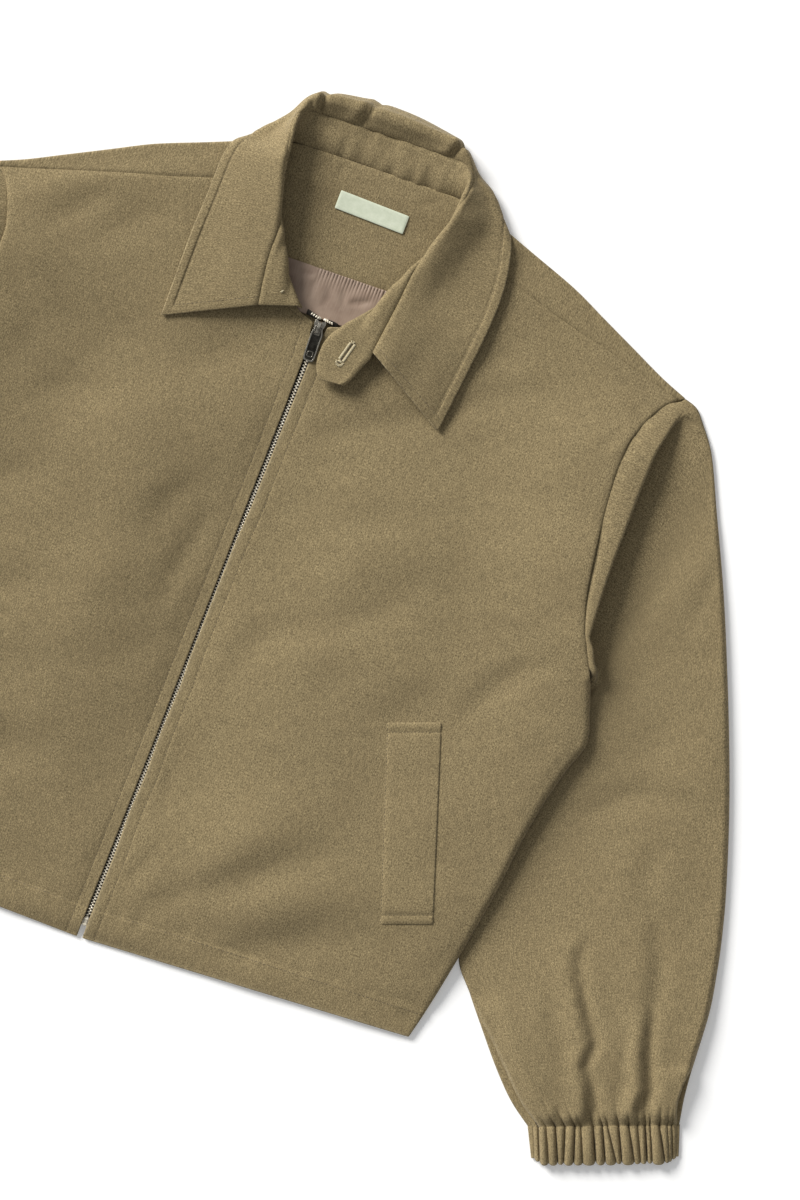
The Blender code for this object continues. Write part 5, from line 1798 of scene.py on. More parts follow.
    def raise_leaf(self, leaf: Array, leaf_at: Array) -> Array:
        """Lift the leaf's free edges off the fronts, and dent it behind the neck.

        Args:
            leaf: the leaf's grid, in mm.
            leaf_at: how far each point is from the seam.

        Returns:
            The dressed grid.
        """
        sections = np.linspace(0, len(self.rows) - 1, len(leaf))[:, None]
        last = len(self.rows) - 1
        share = leaf_at / leaf_at[:, -1:]
        from_right, from_left = sections, last - sections
        lies = ease((4.2 - np.minimum(from_right, from_left)) / 1.6)
        tip = ease(1.4 - np.minimum(from_right, from_left)) * ease((share - 0.6) / 0.4)
        to_light = from_right < from_left
        fall = self.at_right_end(sections) * (1 - ease(share / 0.95))
        right = 1.3 + 3.2 * fall - 1.0 * tip
        left = 0.7 * self.leaf_lift * ease((leaf_at + 6) / 22) * (1 - 0.85 * tip)
        left += 1.6 * ease(1.8 - from_left) * np.sin(np.pi * share)
        at_tab = ease((sections - last + 2) / 2.2) * ease(1 - leaf_at / 46)
        left += (self.tab_rise + self.tab_lift) * at_tab
        lift = np.where(to_light, right, left)
        dressed = leaf.copy()
        dressed[..., 2] += lies * lift
        behind = self.behind(sections)
        dressed[..., 2] -= self.behind_dip * behind * ease(1 - leaf_at / 12)
        for place, width, depth in self.leaf_dents:
            slant = sections - place - 0.012 * (leaf_at - 8)
            fold = bump(slant, width) - 0.6 * bump(slant + 1.9 * width, 1.5 * width)
            dressed[..., 2] -= depth * fold * behind * ease((leaf_at + 2) / 6) * ease((26 - leaf_at) / 10)
            dressed[..., 1] -= 0.5 * depth * fold * behind * ease((leaf_at - 4) / 10)
        wave = self.noise(leaf[..., 0], leaf[..., 1], 42, 30, 40)
        dressed[..., 2] += 0.5 * wave * lies * ease((leaf_at - 12) / 15)
        return dressed

    def press(self, grid: Array, at: Array, along: Array, seam_last: bool) -> Array:
        """Press seams, stitched channels and rolled edges along the grid's own normals.

        Args:
            grid: the piece's grid, in mm.
            at: how far each point is across it.
            along: how far along the middle each row is.
            seam_last: whether the last column, and not the first, is sewn to the other piece.

        Returns:
            The dressed grid.
        """
        normals = surface_normals(grid)
        width = at[:, -1:]
        to_seam = width - at if seam_last else at
        push = -0.55 * bump(to_seam, 1.0) + 0.25 * bump(to_seam - 3.4, 1.8)
        if seam_last:
            ripple = self.noise(along * 2.6, at * 0.6, 14, 26)
            near_back = ease((along - 150) / 30) * ease((along[-1:] - along - 190) / 30)
            push += (0.25 + 0.95 * near_back) * ripple * ease(along / 60)
            fine = self.noise(along * 2 + 300, at * 1.6, 9, 16)
            push += 0.6 * near_back * fine * np.sin(np.pi * np.clip(at / 26, 0, 1)) - 0.4 * bump(at, 1.2)
        else:
            edge = np.minimum(width - at, np.minimum(along, along[-1:] - along))
            push += 0.12 * bump(edge - 2.8, 2.0) - 0.6 * bump(edge - self.edge_stitch, 0.65)
            push += 0.16 * self.noise(along * 3 + at, at * 3, 16, 12) * bump(edge - 5, 5)
        return grid + normals * push[..., None]

    def stitch_path(self, grid: Array, at: Array, along: Array) -> tuple:
        """The topstitching, inside the leaf's ends and outer edge.

        Args:
            grid: the leaf's points, in metres.
            at: how far each point is across it, in mm.
            along: how far along the middle each row is, in mm.

        Returns:
            Points and normals of its path.
        """
        inset = self.edge_stitch
        first = np.interp(inset, along[:, 0], np.arange(len(along)))
        last = np.interp(along[-1, 0] - inset, along[:, 0], np.arange(len(along)))
        rows = np.linspace(first, last, 3 * len(along))
        numbers = np.arange(at.shape[1])

        def column_at(row: float, distance: float) -> float:
            """Column at a distance inside the outer edge in a row."""
            here = at[int(round(row))]
            return float(np.interp(here[-1] - distance, here, numbers))

        down = np.linspace(0, column_at(first, inset), 60)
        up = np.linspace(column_at(last, inset), 0, 60)
        edge = np.array([column_at(row, inset) for row in rows])
        path_rows = np.concatenate([np.full(60, first), rows, np.full(60, last)])
        path_columns = np.concatenate([down, edge, up])
        return tuple(read_grid(each, path_rows, path_columns) for each in (grid, surface_normals(grid)))

    def build(self, finish: Material, thread: Material) -> list:
        """Make both pieces.

        Args:
            finish: the cloth.
            thread: its sewing thread.

        Returns:
            The stand, the leaf and the leaf's stitches.
        """
        stand, stand_at, leaf, leaf_at = self.surfaces()
        leaf = self.raise_leaf(self.calm_rows(leaf), leaf_at)
        stand = self.dress_stand(self.calm_rows(stand, 3))
        pieces = []
        for node, grid, across, flat, area in (
                ("collar_stand", stand, stand_at, (0.46, 0.045), 0.0125),
                ("collar_leaf", leaf, leaf_at, (0.53, 0.09), 0.029)):
            along = path_lengths(grid[:, grid.shape[1] // 2])[:, None]
            grid = self.press(grid, across, along, node == "collar_stand")
            points = LAY.world(*np.moveaxis(grid, -1, 0))
            edge = np.minimum(across[:, -1:] - across, np.minimum(along, along[-1:] - along))
            patch = Patch(points, grain_of(along, across), worn=bump(edge, 1.5))
            pieces.append(make_cloth(node, [patch], self.wall, finish, flat=flat, held="folded", area=area,
                                     rests_on=["front_left"]))
        path = self.stitch_path(points, across, along)
        return pieces + [Stitching().sew("collar_leaf_stitches", [path], self.wall, thread)]

    def dress_stand(self, stand: Array) -> Array:
        """Lift the tab and the stand's end off the front.

        Args:
            stand: the stand's grid, in mm.

        Returns:
            The dressed grid.
        """
        dressed = stand.copy()
        rows = np.arange(len(stand))[:, None] / self.per_section
        on_tab = ease((rows - (len(self.rows) - 3.0)) / 2.2)
        share = np.linspace(0, 1, self.stand_points)[None, :]
        end = ease((rows - len(self.rows) + 1) / 4.0)
        dressed[..., 2] += on_tab * (self.tab_rise + self.tab_lift * share) * (1 - 0.2 * end)
        dressed[..., 2] += self.at_right_end(rows) * (3.4 + 0.8 * ease((share - 0.15) / 0.6))
        dressed[..., 2] -= self.behind(rows) * (self.behind_dip * ease((share - 0.1) / 0.9)
                                                - 1.2 * np.sin(np.pi * share))
        return dressed


@dataclass
class Buttonhole:
    """The keyhole buttonhole worked in the tab."""

    start: tuple = (32.2, 457.0)
    end: tuple = (27.6, 441.4)
    half_width: float = 0.9
    eye: float = 1.7
    eye_opens: float = 148.0
    reach: float = 1.9
    pitch: float = 0.62
    purl_lift: float = 0.22
    thread_lift: float = 0.2
    slit_lift: float = 0.07
    threads: tuple = ((-28.4, 475.3), (-27.9, 476.0), (-27.5, 476.7))

    def axis(self) -> tuple:
        """Both ends of the slit, the way along it and the way across."""
        start, end = np.array(self.start), np.array(self.end)
        way = unit(end - start)
        return start, end, way, np.array([-way[1], way[0]])

    def outline(self) -> Array:
        """Draw the keyhole from its eye and its two long sides.

        Returns:
            Its places in the lay, closed.
        """
        start, end, way, side = self.axis()
        angles = np.radians(np.linspace(self.eye_opens, -self.eye_opens, 26))
        loop = end + self.eye * (np.cos(angles)[:, None] * way + np.sin(angles)[:, None] * side)
        left = mix(start + side * self.half_width, loop[0], np.linspace(0, 1, 30)[:, None])
        right = mix(loop[-1], start - side * self.half_width, np.linspace(0, 1, 30)[:, None])
        bar = mix(right[-1], left[0], np.linspace(0, 1, 6)[:, None])
        return np.concatenate([left, loop[1:], right[1:], bar[1:]])

    def build(self, stand: Piece, finish: Material,
              slit_shade: Material) -> list:
        """Work the buttonhole on the stand's surface.

        Args:
            stand: the piece that carries it.
            finish: the purl thread.
            slit_shade: painted shade for the slit, standing in for the shadow in the cut.

        Returns:
            The purl stitches and the slit.
        """
        line = self.outline()
        walked = path_lengths(line)
        at = np.arange(0, walked[-1], self.pitch)
        places = along_path(line, at)
        after, before = np.minimum(at + 0.2, walked[-1]), np.maximum(at - 0.2, 0)
        ahead = unit(along_path(line, after) - along_path(line, before))
        out = np.stack([-ahead[:, 1], ahead[:, 0]], axis=-1)
        out *= np.where(((places - line.mean(axis=0)) * out).sum(axis=1) < 0, -1, 1)[:, None]
        stitch = Stitching(length=self.reach, thick=0.62, sink=-0.05)
        tops = points_over(stand, places + out * self.reach * 0.42, self.purl_lift)
        ways = np.column_stack([out, np.zeros(len(out))])
        purl = stitch.lay("buttonhole_purl", tops, ways, UP, finish)
        slit = self.slit(stand, slit_shade)
        return [purl, slit, self.button_thread(stand, finish)]

    def button_thread(self, stand: Piece, finish: Material) -> Piece:
        """The threads of the button beneath, where they come through the stand's other end."""
        stitch = Stitching(length=1.7, thick=0.55, sink=-0.05)
        tops = points_over(stand, self.threads, self.thread_lift)
        return stitch.lay("button_threads", tops, ACROSS, UP, finish)

    def slit(self, stand: Piece, finish: Material) -> Piece:
        """The cut between the purl stitches, with its eye.

        Args:
            stand: the piece that carries it.
            finish: painted shade for the slit, standing in for the shadow in the cut.

        Returns:
            The slit, riding on the jacket.
        """
        start, end, way, side = self.axis()
        share = np.linspace(0, 1, 24)
        half = 0.28 + 0.75 * np.sin(np.pi * np.clip((share - 0.86) / 0.14, 0, 1))
        middle = mix(start, end + way * self.eye * 0.6, share[:, None])
        rows = [points_over(stand, middle + side * (half * offset)[:, None], self.slit_lift - drop)
                for offset, drop in ((-1, 0.05), (0, 0.0), (1, 0.05))]
        grid = np.stack(rows, axis=1)
        numbers = np.arange(grid.shape[0] * 3).reshape(-1, 3)
        faces = np.stack([numbers[:-1, :-1], numbers[1:, :-1], numbers[1:, 1:], numbers[:-1, 1:]], axis=-1)
        # The slit is a near-black sheet: painted shade for the shadow inside the cut.
        piece = make_object("buttonhole_slit_painted_shade", grid.reshape(-1, 3), faces.reshape(-1, 4), finish)
        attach(piece, "jacket")
        return piece


def surface_under(piece: Piece, place: Array) -> Array:
    """Find the highest point of a piece at a place in the lay.

    Args:
        piece: the piece.
        place: u and v of the place.

    Returns:
        The point in metres, at stand height where nothing lies there.
    """
    x, y = (place[0] - LAY.middle_u) * MM, (place[1] - LAY.middle_v) * MM
    hit, spot, _, _ = piece.ray_cast(Vector((x, y, 0.2)), Vector((0, 0, -1)))
    return np.array(spot) if hit else np.array([x, y, 0.008])


def points_over(piece: Piece, places: Array, lift: float) -> Array:
    """Points some mm above a piece over places in the lay, in metres."""
    return np.array([surface_under(piece, place) for place in places]) + (0, 0, lift * MM)


# ---------------------------------------------------------------- inside the neck and the pockets


@dataclass
class NeckInside:
    """The back neck facing, the lining below it and the bare label."""

    back: Back
    wall: float = 1.3
    lining_wall: float = 0.9
    label_wall: float = 0.7
    gather_pitch: float = 2.35
    label_middle: tuple = (14.0, 551.8)
    label_size: tuple = (52.0, 13.0)
    label_tilt: float = -2.2
    label_lift: float = 0.25
    # foot, end of the plain rows, start of the fine ones, seam
    lining_v: tuple = (467.5, 494.0, 494.8, 501.2)
    lining_half: Curve = Curve((467.5, 30), (479, 42), (490, 50), (501.2, 54))
    noise: SoftNoise = field(default_factory=lambda: SoftNoise(67))
    facing_creases: tuple = (
        Crease(((-15, 582), (-17, 574), (-17, 566)), 2.6, 0.8, 0.5),
        Crease(((60, 578), (52, 571), (40, 566)), 4.0, 0.7, 0.4),
        Crease(((-30, 575), (-42, 560), (-48, 548)), 6.0, 0.6, 0.4),
    )
    lining_creases: tuple = (
        Crease(((-29, 491), (-20, 494), (-9, 496)), 2.6, 0.9, 0.5),
        Crease(((18, 484), (26, 487), (35, 491)), 3.0, 1.1, -0.6),
        Crease(((2, 492), (4, 484), (2, 475)), 3.4, 0.7, 0.5),
        Crease(((-6, 497), (-9, 488), (-8, 477)), 3.0, 0.7, -0.5),
        Crease(((12, 494), (15, 486), (16, 478)), 3.0, 0.6, 0.5),
    )

    def facing(self, finish: Material) -> Piece:
        """The facing, moved up from the back's own points.

        Args:
            finish: the cloth.

        Returns:
            The facing.
        """
        limit = LAY.neck_half_width / LAY.edge_h(LAY.back_armhole, LAY.tip_v) - 0.002
        half = np.linspace(0, limit, 44)
        low_v = LAY.hem_outer_v + LAY.back_shorter
        row_v = np.linspace(low_v + 0.862 * (LAY.tip_v - low_v), LAY.tip_v, 44)[:, None]
        h, v = self.back.share_point(half[None, :], row_v)
        points, grains = [], []
        for side in (Side.RIGHT, Side.LEFT):
            u = LAY.zip_u(v) + side.value * h
            z = LAY.back_z(side, h, v) + LAY.stack
            calm = ease((h.max() - h) / 16) * ease((v - v[:1]) / 6)
            wave = self.noise(u, v, 34, 22, 30)
            z += calm * (0.35 + 0.45 * wave)
            for crease in self.facing_creases:
                z += crease.height(u, v)
            z -= 0.5 * bump(v - v[:1], 1.2) + 0.5 * bump(v[-1:] - v, 1.5)
            points.append(LAY.on_side(side, h, v, z))
            grains.append(grain_of(u, v))
        return make_cloth("back_facing", [both_sides(points, grains)], self.wall, finish,
                          flat=(0.18, 0.09), held="laid", rests_on=["back"])

    def lining(self, finish: Material) -> Piece:
        """The lining, eased into the facing's seam in small gathers.

        Args:
            finish: the satin.

        Returns:
            The lining.
        """
        foot_v, plain_v, fine_v, seam_v = self.lining_v
        v = np.concatenate([np.linspace(foot_v, plain_v, 30), np.linspace(fine_v, seam_v, 12)])[:, None]
        share = np.linspace(-1, 1, 190)[None, :]
        offset = share * self.lining_half(v[:, 0])[:, None]
        u = LAY.zip_u(v) + offset
        near_seam = np.exp(-((seam_v - v) / 6.5) ** 1.4)
        span = ease((u + 12) / 6) * ease((46 - u) / 6)
        jitter = 0.35 * np.sin(u * 0.7) + 0.3 * np.sin(u * 1.31 + 1)
        ticks = np.cos(2 * np.pi * u / self.gather_pitch + jitter + 0.05 * (501 - v))
        calm = ease((1 - np.abs(share)) * 6)
        above = 0.5 + 0.42 * ticks * near_seam * span + 0.45 * self.noise(u, v, 17, 11, 60)
        above += sum(crease.height(u, v) for crease in self.lining_creases)
        above -= 0.4 * bump((u + 32) * 0.243 + (v - 507) * 0.97, 0.8) * ease((-6 - u) / 3)
        on_back = LAY.cloth + self.lining_wall / 2
        z = np.maximum(on_back + LAY.seam + calm * above, on_back)
        return make_cloth("lining", [Patch(LAY.world(u, v, z), grain_of(u, v))], self.lining_wall, finish,
                          "lining_satin", flat=(0.115, 0.036), held="laid", rests_on=["back"])

    def label(self, finish: Material, facing: Piece) -> Piece:
        """The bare woven label, laid on the facing.

        Args:
            finish: the weave.
            facing: the piece that carries it.

        Returns:
            The label.
        """
        width, depth = self.label_size
        tilt = math.radians(self.label_tilt)
        x = np.linspace(-0.5, 0.5, 40)[None, :] * width
        y = np.linspace(-0.5, 0.5, 14)[:, None] * depth
        u = self.label_middle[0] + x * math.cos(tilt) - y * math.sin(tilt)
        v = self.label_middle[1] + x * math.sin(tilt) + y * math.cos(tilt)
        z = np.array([[surface_under(facing, place)[2] / MM for place in zip(*line)] for line in zip(u, v)])
        z = mix(z, z.mean(), 0.5) + self.label_wall / 2 + self.label_lift
        edge = np.minimum(width / 2 - np.abs(x), depth / 2 - np.abs(y))
        patch = Patch(LAY.world(u, v, z - 0.15 * bump(edge, 0.5)), grain_of(x, y))
        return make_cloth("label", [patch], self.label_wall, finish, "label_weave",
                          flat=(0.052, 0.013), held="laid", rests_on=[facing.name])

    def build(self, finishes: Finishes) -> list:
        """Make the pieces inside the neck.

        Args:
            finishes: the jacket's materials.

        Returns:
            The facing, the lining and the label.
        """
        facing = self.facing(finishes.twill)
        lining = self.lining(finishes.satin)
        bpy.context.view_layer.update()
        return [facing, lining, self.label(finishes.label, facing)]


@dataclass
class Welt:
    """A pocket welt, lying on its front along the slant of the pocket mouth."""

    front: Front
    wall: float = 1.4
    rise: float = 0.85
    sunk: float = 0.55
    stitch: float = 6.2
    # top inner, top outer, low outer, low inner
    corners: tuple = ((144.5, 207), (180.5, 219.5), (221.5, 81.5), (186.5, 69.5))

    def build(self, finish: Material, thread: Material) -> list:
        """Make the welt.

        Args:
            finish: the cloth.
            thread: its sewing thread, a near-black one whose tone is painted shade along the welt's seams.

        Returns:
            The welt and its stitches.
        """
        side = self.front.side
        ti, to, lo, li = (np.array(corner, float) for corner in self.corners)
        long, wide = np.linalg.norm(li - ti), np.linalg.norm(to - ti)
        fine = (0.5, 1.2, 2.2, self.stitch - 0.9, self.stitch, self.stitch + 0.9)
        down = stations(0, long, 2.4, ((0, fine), (long, tuple(-n for n in fine)))) / long
        across = stations(0, wide, 2.0, ((0, (0.5, 1.2)), (wide, (-0.5, -1.2, -2.2)))) / wide
        down, across = down[:, None], across[None, :]
        inner = [mix(a, b, down) for a, b in zip(ti, li)]
        outer = [mix(a, b, down) for a, b in zip(to, lo)]
        u, v = (mix(a, b, across) for a, b in zip(inner, outer))
        h = u - LAY.zip_u(v)
        from_end = np.minimum(down, 1 - down) * long
        from_inner, from_outer = across * wide, (1 - across) * wide
        bow = 0.3 * np.sin(np.pi * across) ** 0.8 * ease(from_end / 14) * (1 + 0.3 * np.sin(down * 9))
        z = self.front.surface(h, v) + self.sunk
        z += (self.rise - 0.5) * ease(from_inner / 5) * ease(from_end / 3 + 0.35) + bow
        z += 0.2 * bump(from_end - 2.6, 1.6) - 0.55 * bump(from_end - self.stitch, 0.9)
        points = LAY.on_side(side, h, v, z - 0.5 * bump(from_inner, 1.0))
        patch = Patch(points, grain_of(h, v), worn=bump(np.minimum(from_end, from_outer), 1.3))
        node = f"welt_{side.word}"
        piece = make_cloth(node, [patch], self.wall, finish, flat=(0.039, 0.144), held="laid",
                           rests_on=[f"front_{side.word}"])
        rows = [nearest(down[:, 0] * long, place) for place in (self.stitch, long - self.stitch)]
        paths = [row_path(points, row) for row in rows] + [column_path(points, 1)]
        stitch = Stitching(pitch=2.6, length=2.0)
        return [piece, stitch.sew(f"{node}_stitches", paths, self.wall, thread)]


# ---------------------------------------------------------------- zip


@dataclass
class Zip:
    """The metal zip: tapes, teeth, stops, slider and pull."""

    tape_z: float = 2.25
    foot_v: float = 5.4
    top_v: float = 454.6
    bottom_v: float = -2.5
    tooth_pitch: float = 2.3
    tooth: tuple = (2.2, 1.15, 1.9)
    tooth_z: float = 2.8
    tooth_turn: float = -2.5
    slider_foot_v: float = 455.0
    slider_length: float = 11.0
    slider_width: float = 8.6
    slider_z: tuple = (1.75, 5.05)
    pull_axis: tuple = (461.2, 6.15)
    pull_length: float = 26.0
    pull_width: float = 8.6
    pull_height: float = 1.3
    pull_eye: tuple = (5.4, 3.4)
    pull_bar: float = 1.3
    pull_frame: tuple = (5.2, 4.4, 3.3)
    rim_height: float = 0.5
    tape_wall: float = 0.6
    stop: tuple = (4.0, 2.1, 2.0)
    foot_block: tuple = (3.6, 7.4, 1.9)
    foot_band: tuple = (4.6, 1.9, 2.4)
    band_v: tuple = (2.9, -1.2)

    def block(self, centre: tuple, size: tuple, turn: float = 0.0, power: float = 4.0) -> tuple:
        """A rounded block as points and faces.

        Args:
            centre: its middle in the lay, in mm.
            size: its width, depth and height, in mm.
            turn: its turn about z, in degrees.
            power: how square it is.

        Returns:
            Points in metres, and faces.
        """
        rings, sides = 5, 12
        levels = np.linspace(0, math.pi, rings + 2)
        angles = (2 * np.arange(sides) + 1) * math.pi / sides
        polar = np.concatenate([levels[:1], np.repeat(levels[1:-1], sides), levels[-1:]])
        around = np.concatenate([[0.0], np.tile(angles, rings), [0.0]])
        flat = np.sin(polar)
        ways = np.stack([flat * np.cos(around), flat * np.sin(around), np.cos(polar)], axis=1)
        reach = (np.abs(ways) ** power).sum(axis=1, keepdims=True) ** (-1 / power)
        points = ways * reach * np.array(size) / 2
        c, s = math.cos(math.radians(turn)), math.sin(math.radians(turn))
        u = points[:, 0] * c - points[:, 1] * s + centre[0]
        v = points[:, 0] * s + points[:, 1] * c + centre[1]
        steps = [(m, (m + 1) % sides) for m in range(sides)]
        faces = [(0, 1 + m, 1 + k) for m, k in steps]
        for a in range(1, 1 + (rings - 1) * sides, sides):
            faces += [(a + m, a + sides + m, a + sides + k, a + k) for m, k in steps]
        last = len(points) - 1
        faces += [(last - sides + k, last - sides + m, last) for m, k in steps]
        return LAY.world(u, v, points[:, 2] + centre[2]), faces

    def join(self, name: str, parts: Sequence[tuple], finish: Material,
             rubbed: Sequence[float] = ()) -> Piece:
        """Make one piece of several solids.

        Args:
            name: the piece's name.
            parts: points in metres and faces of each solid.
            finish: the metal.
            rubbed: the wear of each solid.

        Returns:
            The piece.
        """
        points, faces, start = [], [], 0
        for part_points, part_faces in parts:
            points.append(part_points)
            faces.extend(tuple(n + start for n in face) for face in part_faces)
            start += len(part_points)
        worn = np.repeat(rubbed, [len(each) for each in points]) if rubbed else None
        return make_object(name, np.concatenate(points), faces, finish, worn=worn)

    def teeth(self, finish: Material) -> Piece:
        """Both rows of teeth, meshed to the slider and parted above it.

        Args:
            finish: the metal.

        Returns:
            The teeth, standing for the chain.
        """
        parts = []
        count = int((self.top_v - self.foot_v) / self.tooth_pitch)
        for n in range(count):
            for side in (-1, 1):
                v = self.foot_v + (n + (0.25 if side < 0 else 0.75)) * self.tooth_pitch
                centre = (LAY.zip_u(v) + 0.3 + side * 0.72, v, self.tooth_z)
                parts.append(self.block(centre, self.tooth, self.tooth_turn))
        top = self.slider_foot_v + self.slider_length
        for side, run in ((-1, -9.0), (1, 8.0)):
            for n in range(4):
                share = (n + 0.4) / 4
                u = LAY.zip_u(top) + side * 2.2 + run * share * 0.8
                v = top + 1.0 + (1.8 if side < 0 else -0.6) * share
                z = 4.3 + 0.9 * math.sin(math.pi * share)
                parts.append(self.block((u, v, z), self.tooth, -62 * side))
        return stand_for(self.join("zip_teeth", parts, finish), "zip_chain")

    def tape(self, side: Side, finish: Material) -> Piece:
        """A woven tape with its corded edge, and its end turned out at the top.

        Args:
            side: the wearer's side.
            finish: the weave, whose near-black tone is painted shade for the gap beside the teeth.

        Returns:
            The tape.
        """
        v = np.linspace(self.foot_v, self.top_v, 170)[:, None]
        h = np.array([0.55, 0.9, 1.4, 1.9, 2.4, 3.0, 4, 5.5, 7.5, 9.5, 11.5, 12.9])[None, :]
        z = self.tape_z + 0.75 * bump(h - 1.5, 0.8) + 0 * v
        straight = Patch(LAY.on_side(side, h, v, z), grain_of(h, v))
        top = self.slider_foot_v + self.slider_length
        along = np.linspace(0, 1, 14)[:, None]
        across = np.linspace(-1, 1, 9)[None, :]
        run = 10.5 if side is Side.RIGHT else 10.0
        u = LAY.zip_u(top) + side.value * (1.6 + run * along) + 0 * across
        rise = 2.4 * along if side is Side.RIGHT else 0.9 * along - 1.6 * along**2
        v_end = top + 0.6 + rise + across * 1.7 * (0.75 + 0.25 * along)
        z_end = 3.3 + 1.1 * np.sin(np.pi * along) - 0.5 * across**2
        end = Patch(LAY.world(u, v_end, z_end), grain_of(along * 10, across * 1.7))
        return make_cloth(f"zip_tape_{side.word}", [straight, end], self.tape_wall, finish, "zip_tape",
                          flat=(0.0125, 0.475), held="laid", rests_on=[])

    def ring(self, outer: Array, inner: Array, low: float, high: float) -> tuple:
        """A flat ring of the pull, between two loops.

        Args:
            outer: the outer loop, from the pull's axis.
            inner: the inner loop, of as many places.
            low: height of its underside from the axis.
            high: height of its top.

        Returns:
            Points in metres, and faces.
        """
        count = len(outer)
        loops = [np.column_stack([loop, np.full(count, z)]) for loop, z in
                 ((outer, low), (outer, high), (inner, high), (inner, low))]
        faces = []
        for n in range(4):
            for m in range(count):
                k = (m + 1) % count
                a, b = n * count, ((n + 1) % 4) * count
                faces.append((a + m, a + k, b + k, b + m))
        axis_v, axis_z = self.pull_axis
        return LAY.world(*(np.concatenate(loops) + (LAY.zip_u(axis_v), axis_v, axis_z)).T), faces

    def rounded_loop(self, centre: tuple, size: tuple, count: int = 48, power: float = 5.0,
                     seen_from: Optional[tuple] = None) -> Array:
        """A rounded rectangle's outline, read at even angles round a place inside it.

        Args:
            centre: its middle.
            size: its width and depth.
            count: how many places to read.
            power: how square it is.
            seen_from: the place inside it, the middle where it isn't given.

        Returns:
            The outline's places.
        """
        view = np.array(seen_from or centre, float)
        angles = (2 * np.arange(count) + 1) * math.pi / count
        ways = np.stack([np.cos(angles), np.sin(angles)], axis=-1)
        low, high = np.zeros((count, 1)), np.full((count, 1), 60.0)
        for _ in range(40):
            middle = (low + high) / 2
            local = (view + ways * middle - centre) / (np.array(size) / 2)
            inside = (np.abs(local) ** power).sum(axis=1, keepdims=True) < 1
            low, high = np.where(inside, middle, low), np.where(inside, high, middle)
        return view + ways * low

    def pull(self, finish: Material) -> Piece:
        """The pull: a plate with a raised rim, its eye and a small bare frame near its end.

        Args:
            finish: the metal.

        Returns:
            The pull, riding on its own body.
        """
        half, bar = self.pull_height / 2, self.pull_bar / 2
        eye_long, eye_wide = self.pull_eye
        long, wide = self.pull_length + bar, self.pull_width
        frame_from_end, frame_outer, frame_inner = self.pull_frame
        eye_middle, frame_middle = (0.0, -bar - eye_long / 2), (0.0, frame_from_end - self.pull_length)
        plate_middle = (0.0, (bar - self.pull_length) / 2)
        outer = self.rounded_loop(plate_middle, (wide, long), 64, 7.0, eye_middle)
        rim = self.rounded_loop(plate_middle, (wide, long), 64, 7.0)
        inset = self.rounded_loop(plate_middle, (wide - 2.0, long - 2.0), 64, 7.0)
        for loop, narrower in ((outer, 0.26), (rim, 0.26), (inset, 0.30)):
            loop[:, 0] *= 1 - narrower * ease((loop[:, 1] + 5.5) / 3.5)

        def loops(middle: tuple, *sizes: tuple, count: int = 48) -> tuple:
            """Rounded loops of some sizes about one middle."""
            return tuple(self.rounded_loop(middle, size, count, 6.0) for size in sizes)

        parts = [
            self.ring(outer, *loops(eye_middle, (eye_wide, eye_long), count=64), -half, half - 0.35),
            self.ring(rim, inset, half - self.rim_height, half),
            self.ring(*loops(eye_middle, (eye_wide + 1.6, eye_long + 1.4), (eye_wide, eye_long)),
                      half - self.rim_height, half),
            self.ring(*loops(frame_middle, (frame_outer, frame_outer), (frame_inner, frame_inner), count=40),
                      half - self.rim_height, half - 0.05),
        ]
        piece = self.join("zip_pull_metal", parts, finish, (0.0, 0.75, 0.3, 0.5))
        self.soften(piece, 0.14)
        return stand_for(piece, "zip_pull", "pull")

    def soften(self, piece: Piece, width: float) -> None:
        """Round a metal piece's sharp edges and keep its flats flat."""
        bevel = piece.modifiers.new("rounded", "BEVEL")
        bevel.width = width * MM
        bevel.segments = 2
        bevel.limit_method = "ANGLE"
        bevel.angle_limit = math.radians(40)
        normals = piece.modifiers.new("flats", "WEIGHTED_NORMAL")
        normals.keep_sharp = True

    def slab(self, loop: Array, low: float, high: float) -> tuple:
        """A solid slab from an outline in the lay.

        Args:
            loop: the outline.
            low: height of its underside.
            high: height of its top.

        Returns:
            Points in metres, and faces.
        """
        count = len(loop)
        points = np.concatenate([np.column_stack([loop, np.full(count, z)]) for z in (low, high)])
        faces = [tuple(range(count))[::-1], tuple(range(count, 2 * count))]
        faces += [(n, (n + 1) % count, count + (n + 1) % count, count + n) for n in range(count)]
        return LAY.world(points[:, 0], points[:, 1], points[:, 2]), faces

    def slider(self, finish: Material) -> Piece:
        """The slider: two plates with flanges, the post between them and the bridge.

        Args:
            finish: the metal.

        Returns:
            The slider.
        """
        foot, low, high = self.slider_foot_v, *self.slider_z
        centre = LAY.zip_u(foot)
        shape = [(0.30, 0.0), (0.33, 0.22), (0.38, 0.42), (0.46, 0.6), (0.5, 0.75), (0.5, 0.9),
                 (0.45, 0.98), (0.36, 1.0), (0.2, 0.93)]

        def laid(loop: Sequence[tuple]) -> Array:
            """An outline in shares of the slider's width and length, as places in the lay."""
            return np.array(loop) * (self.slider_width, self.slider_length) + (centre, foot)

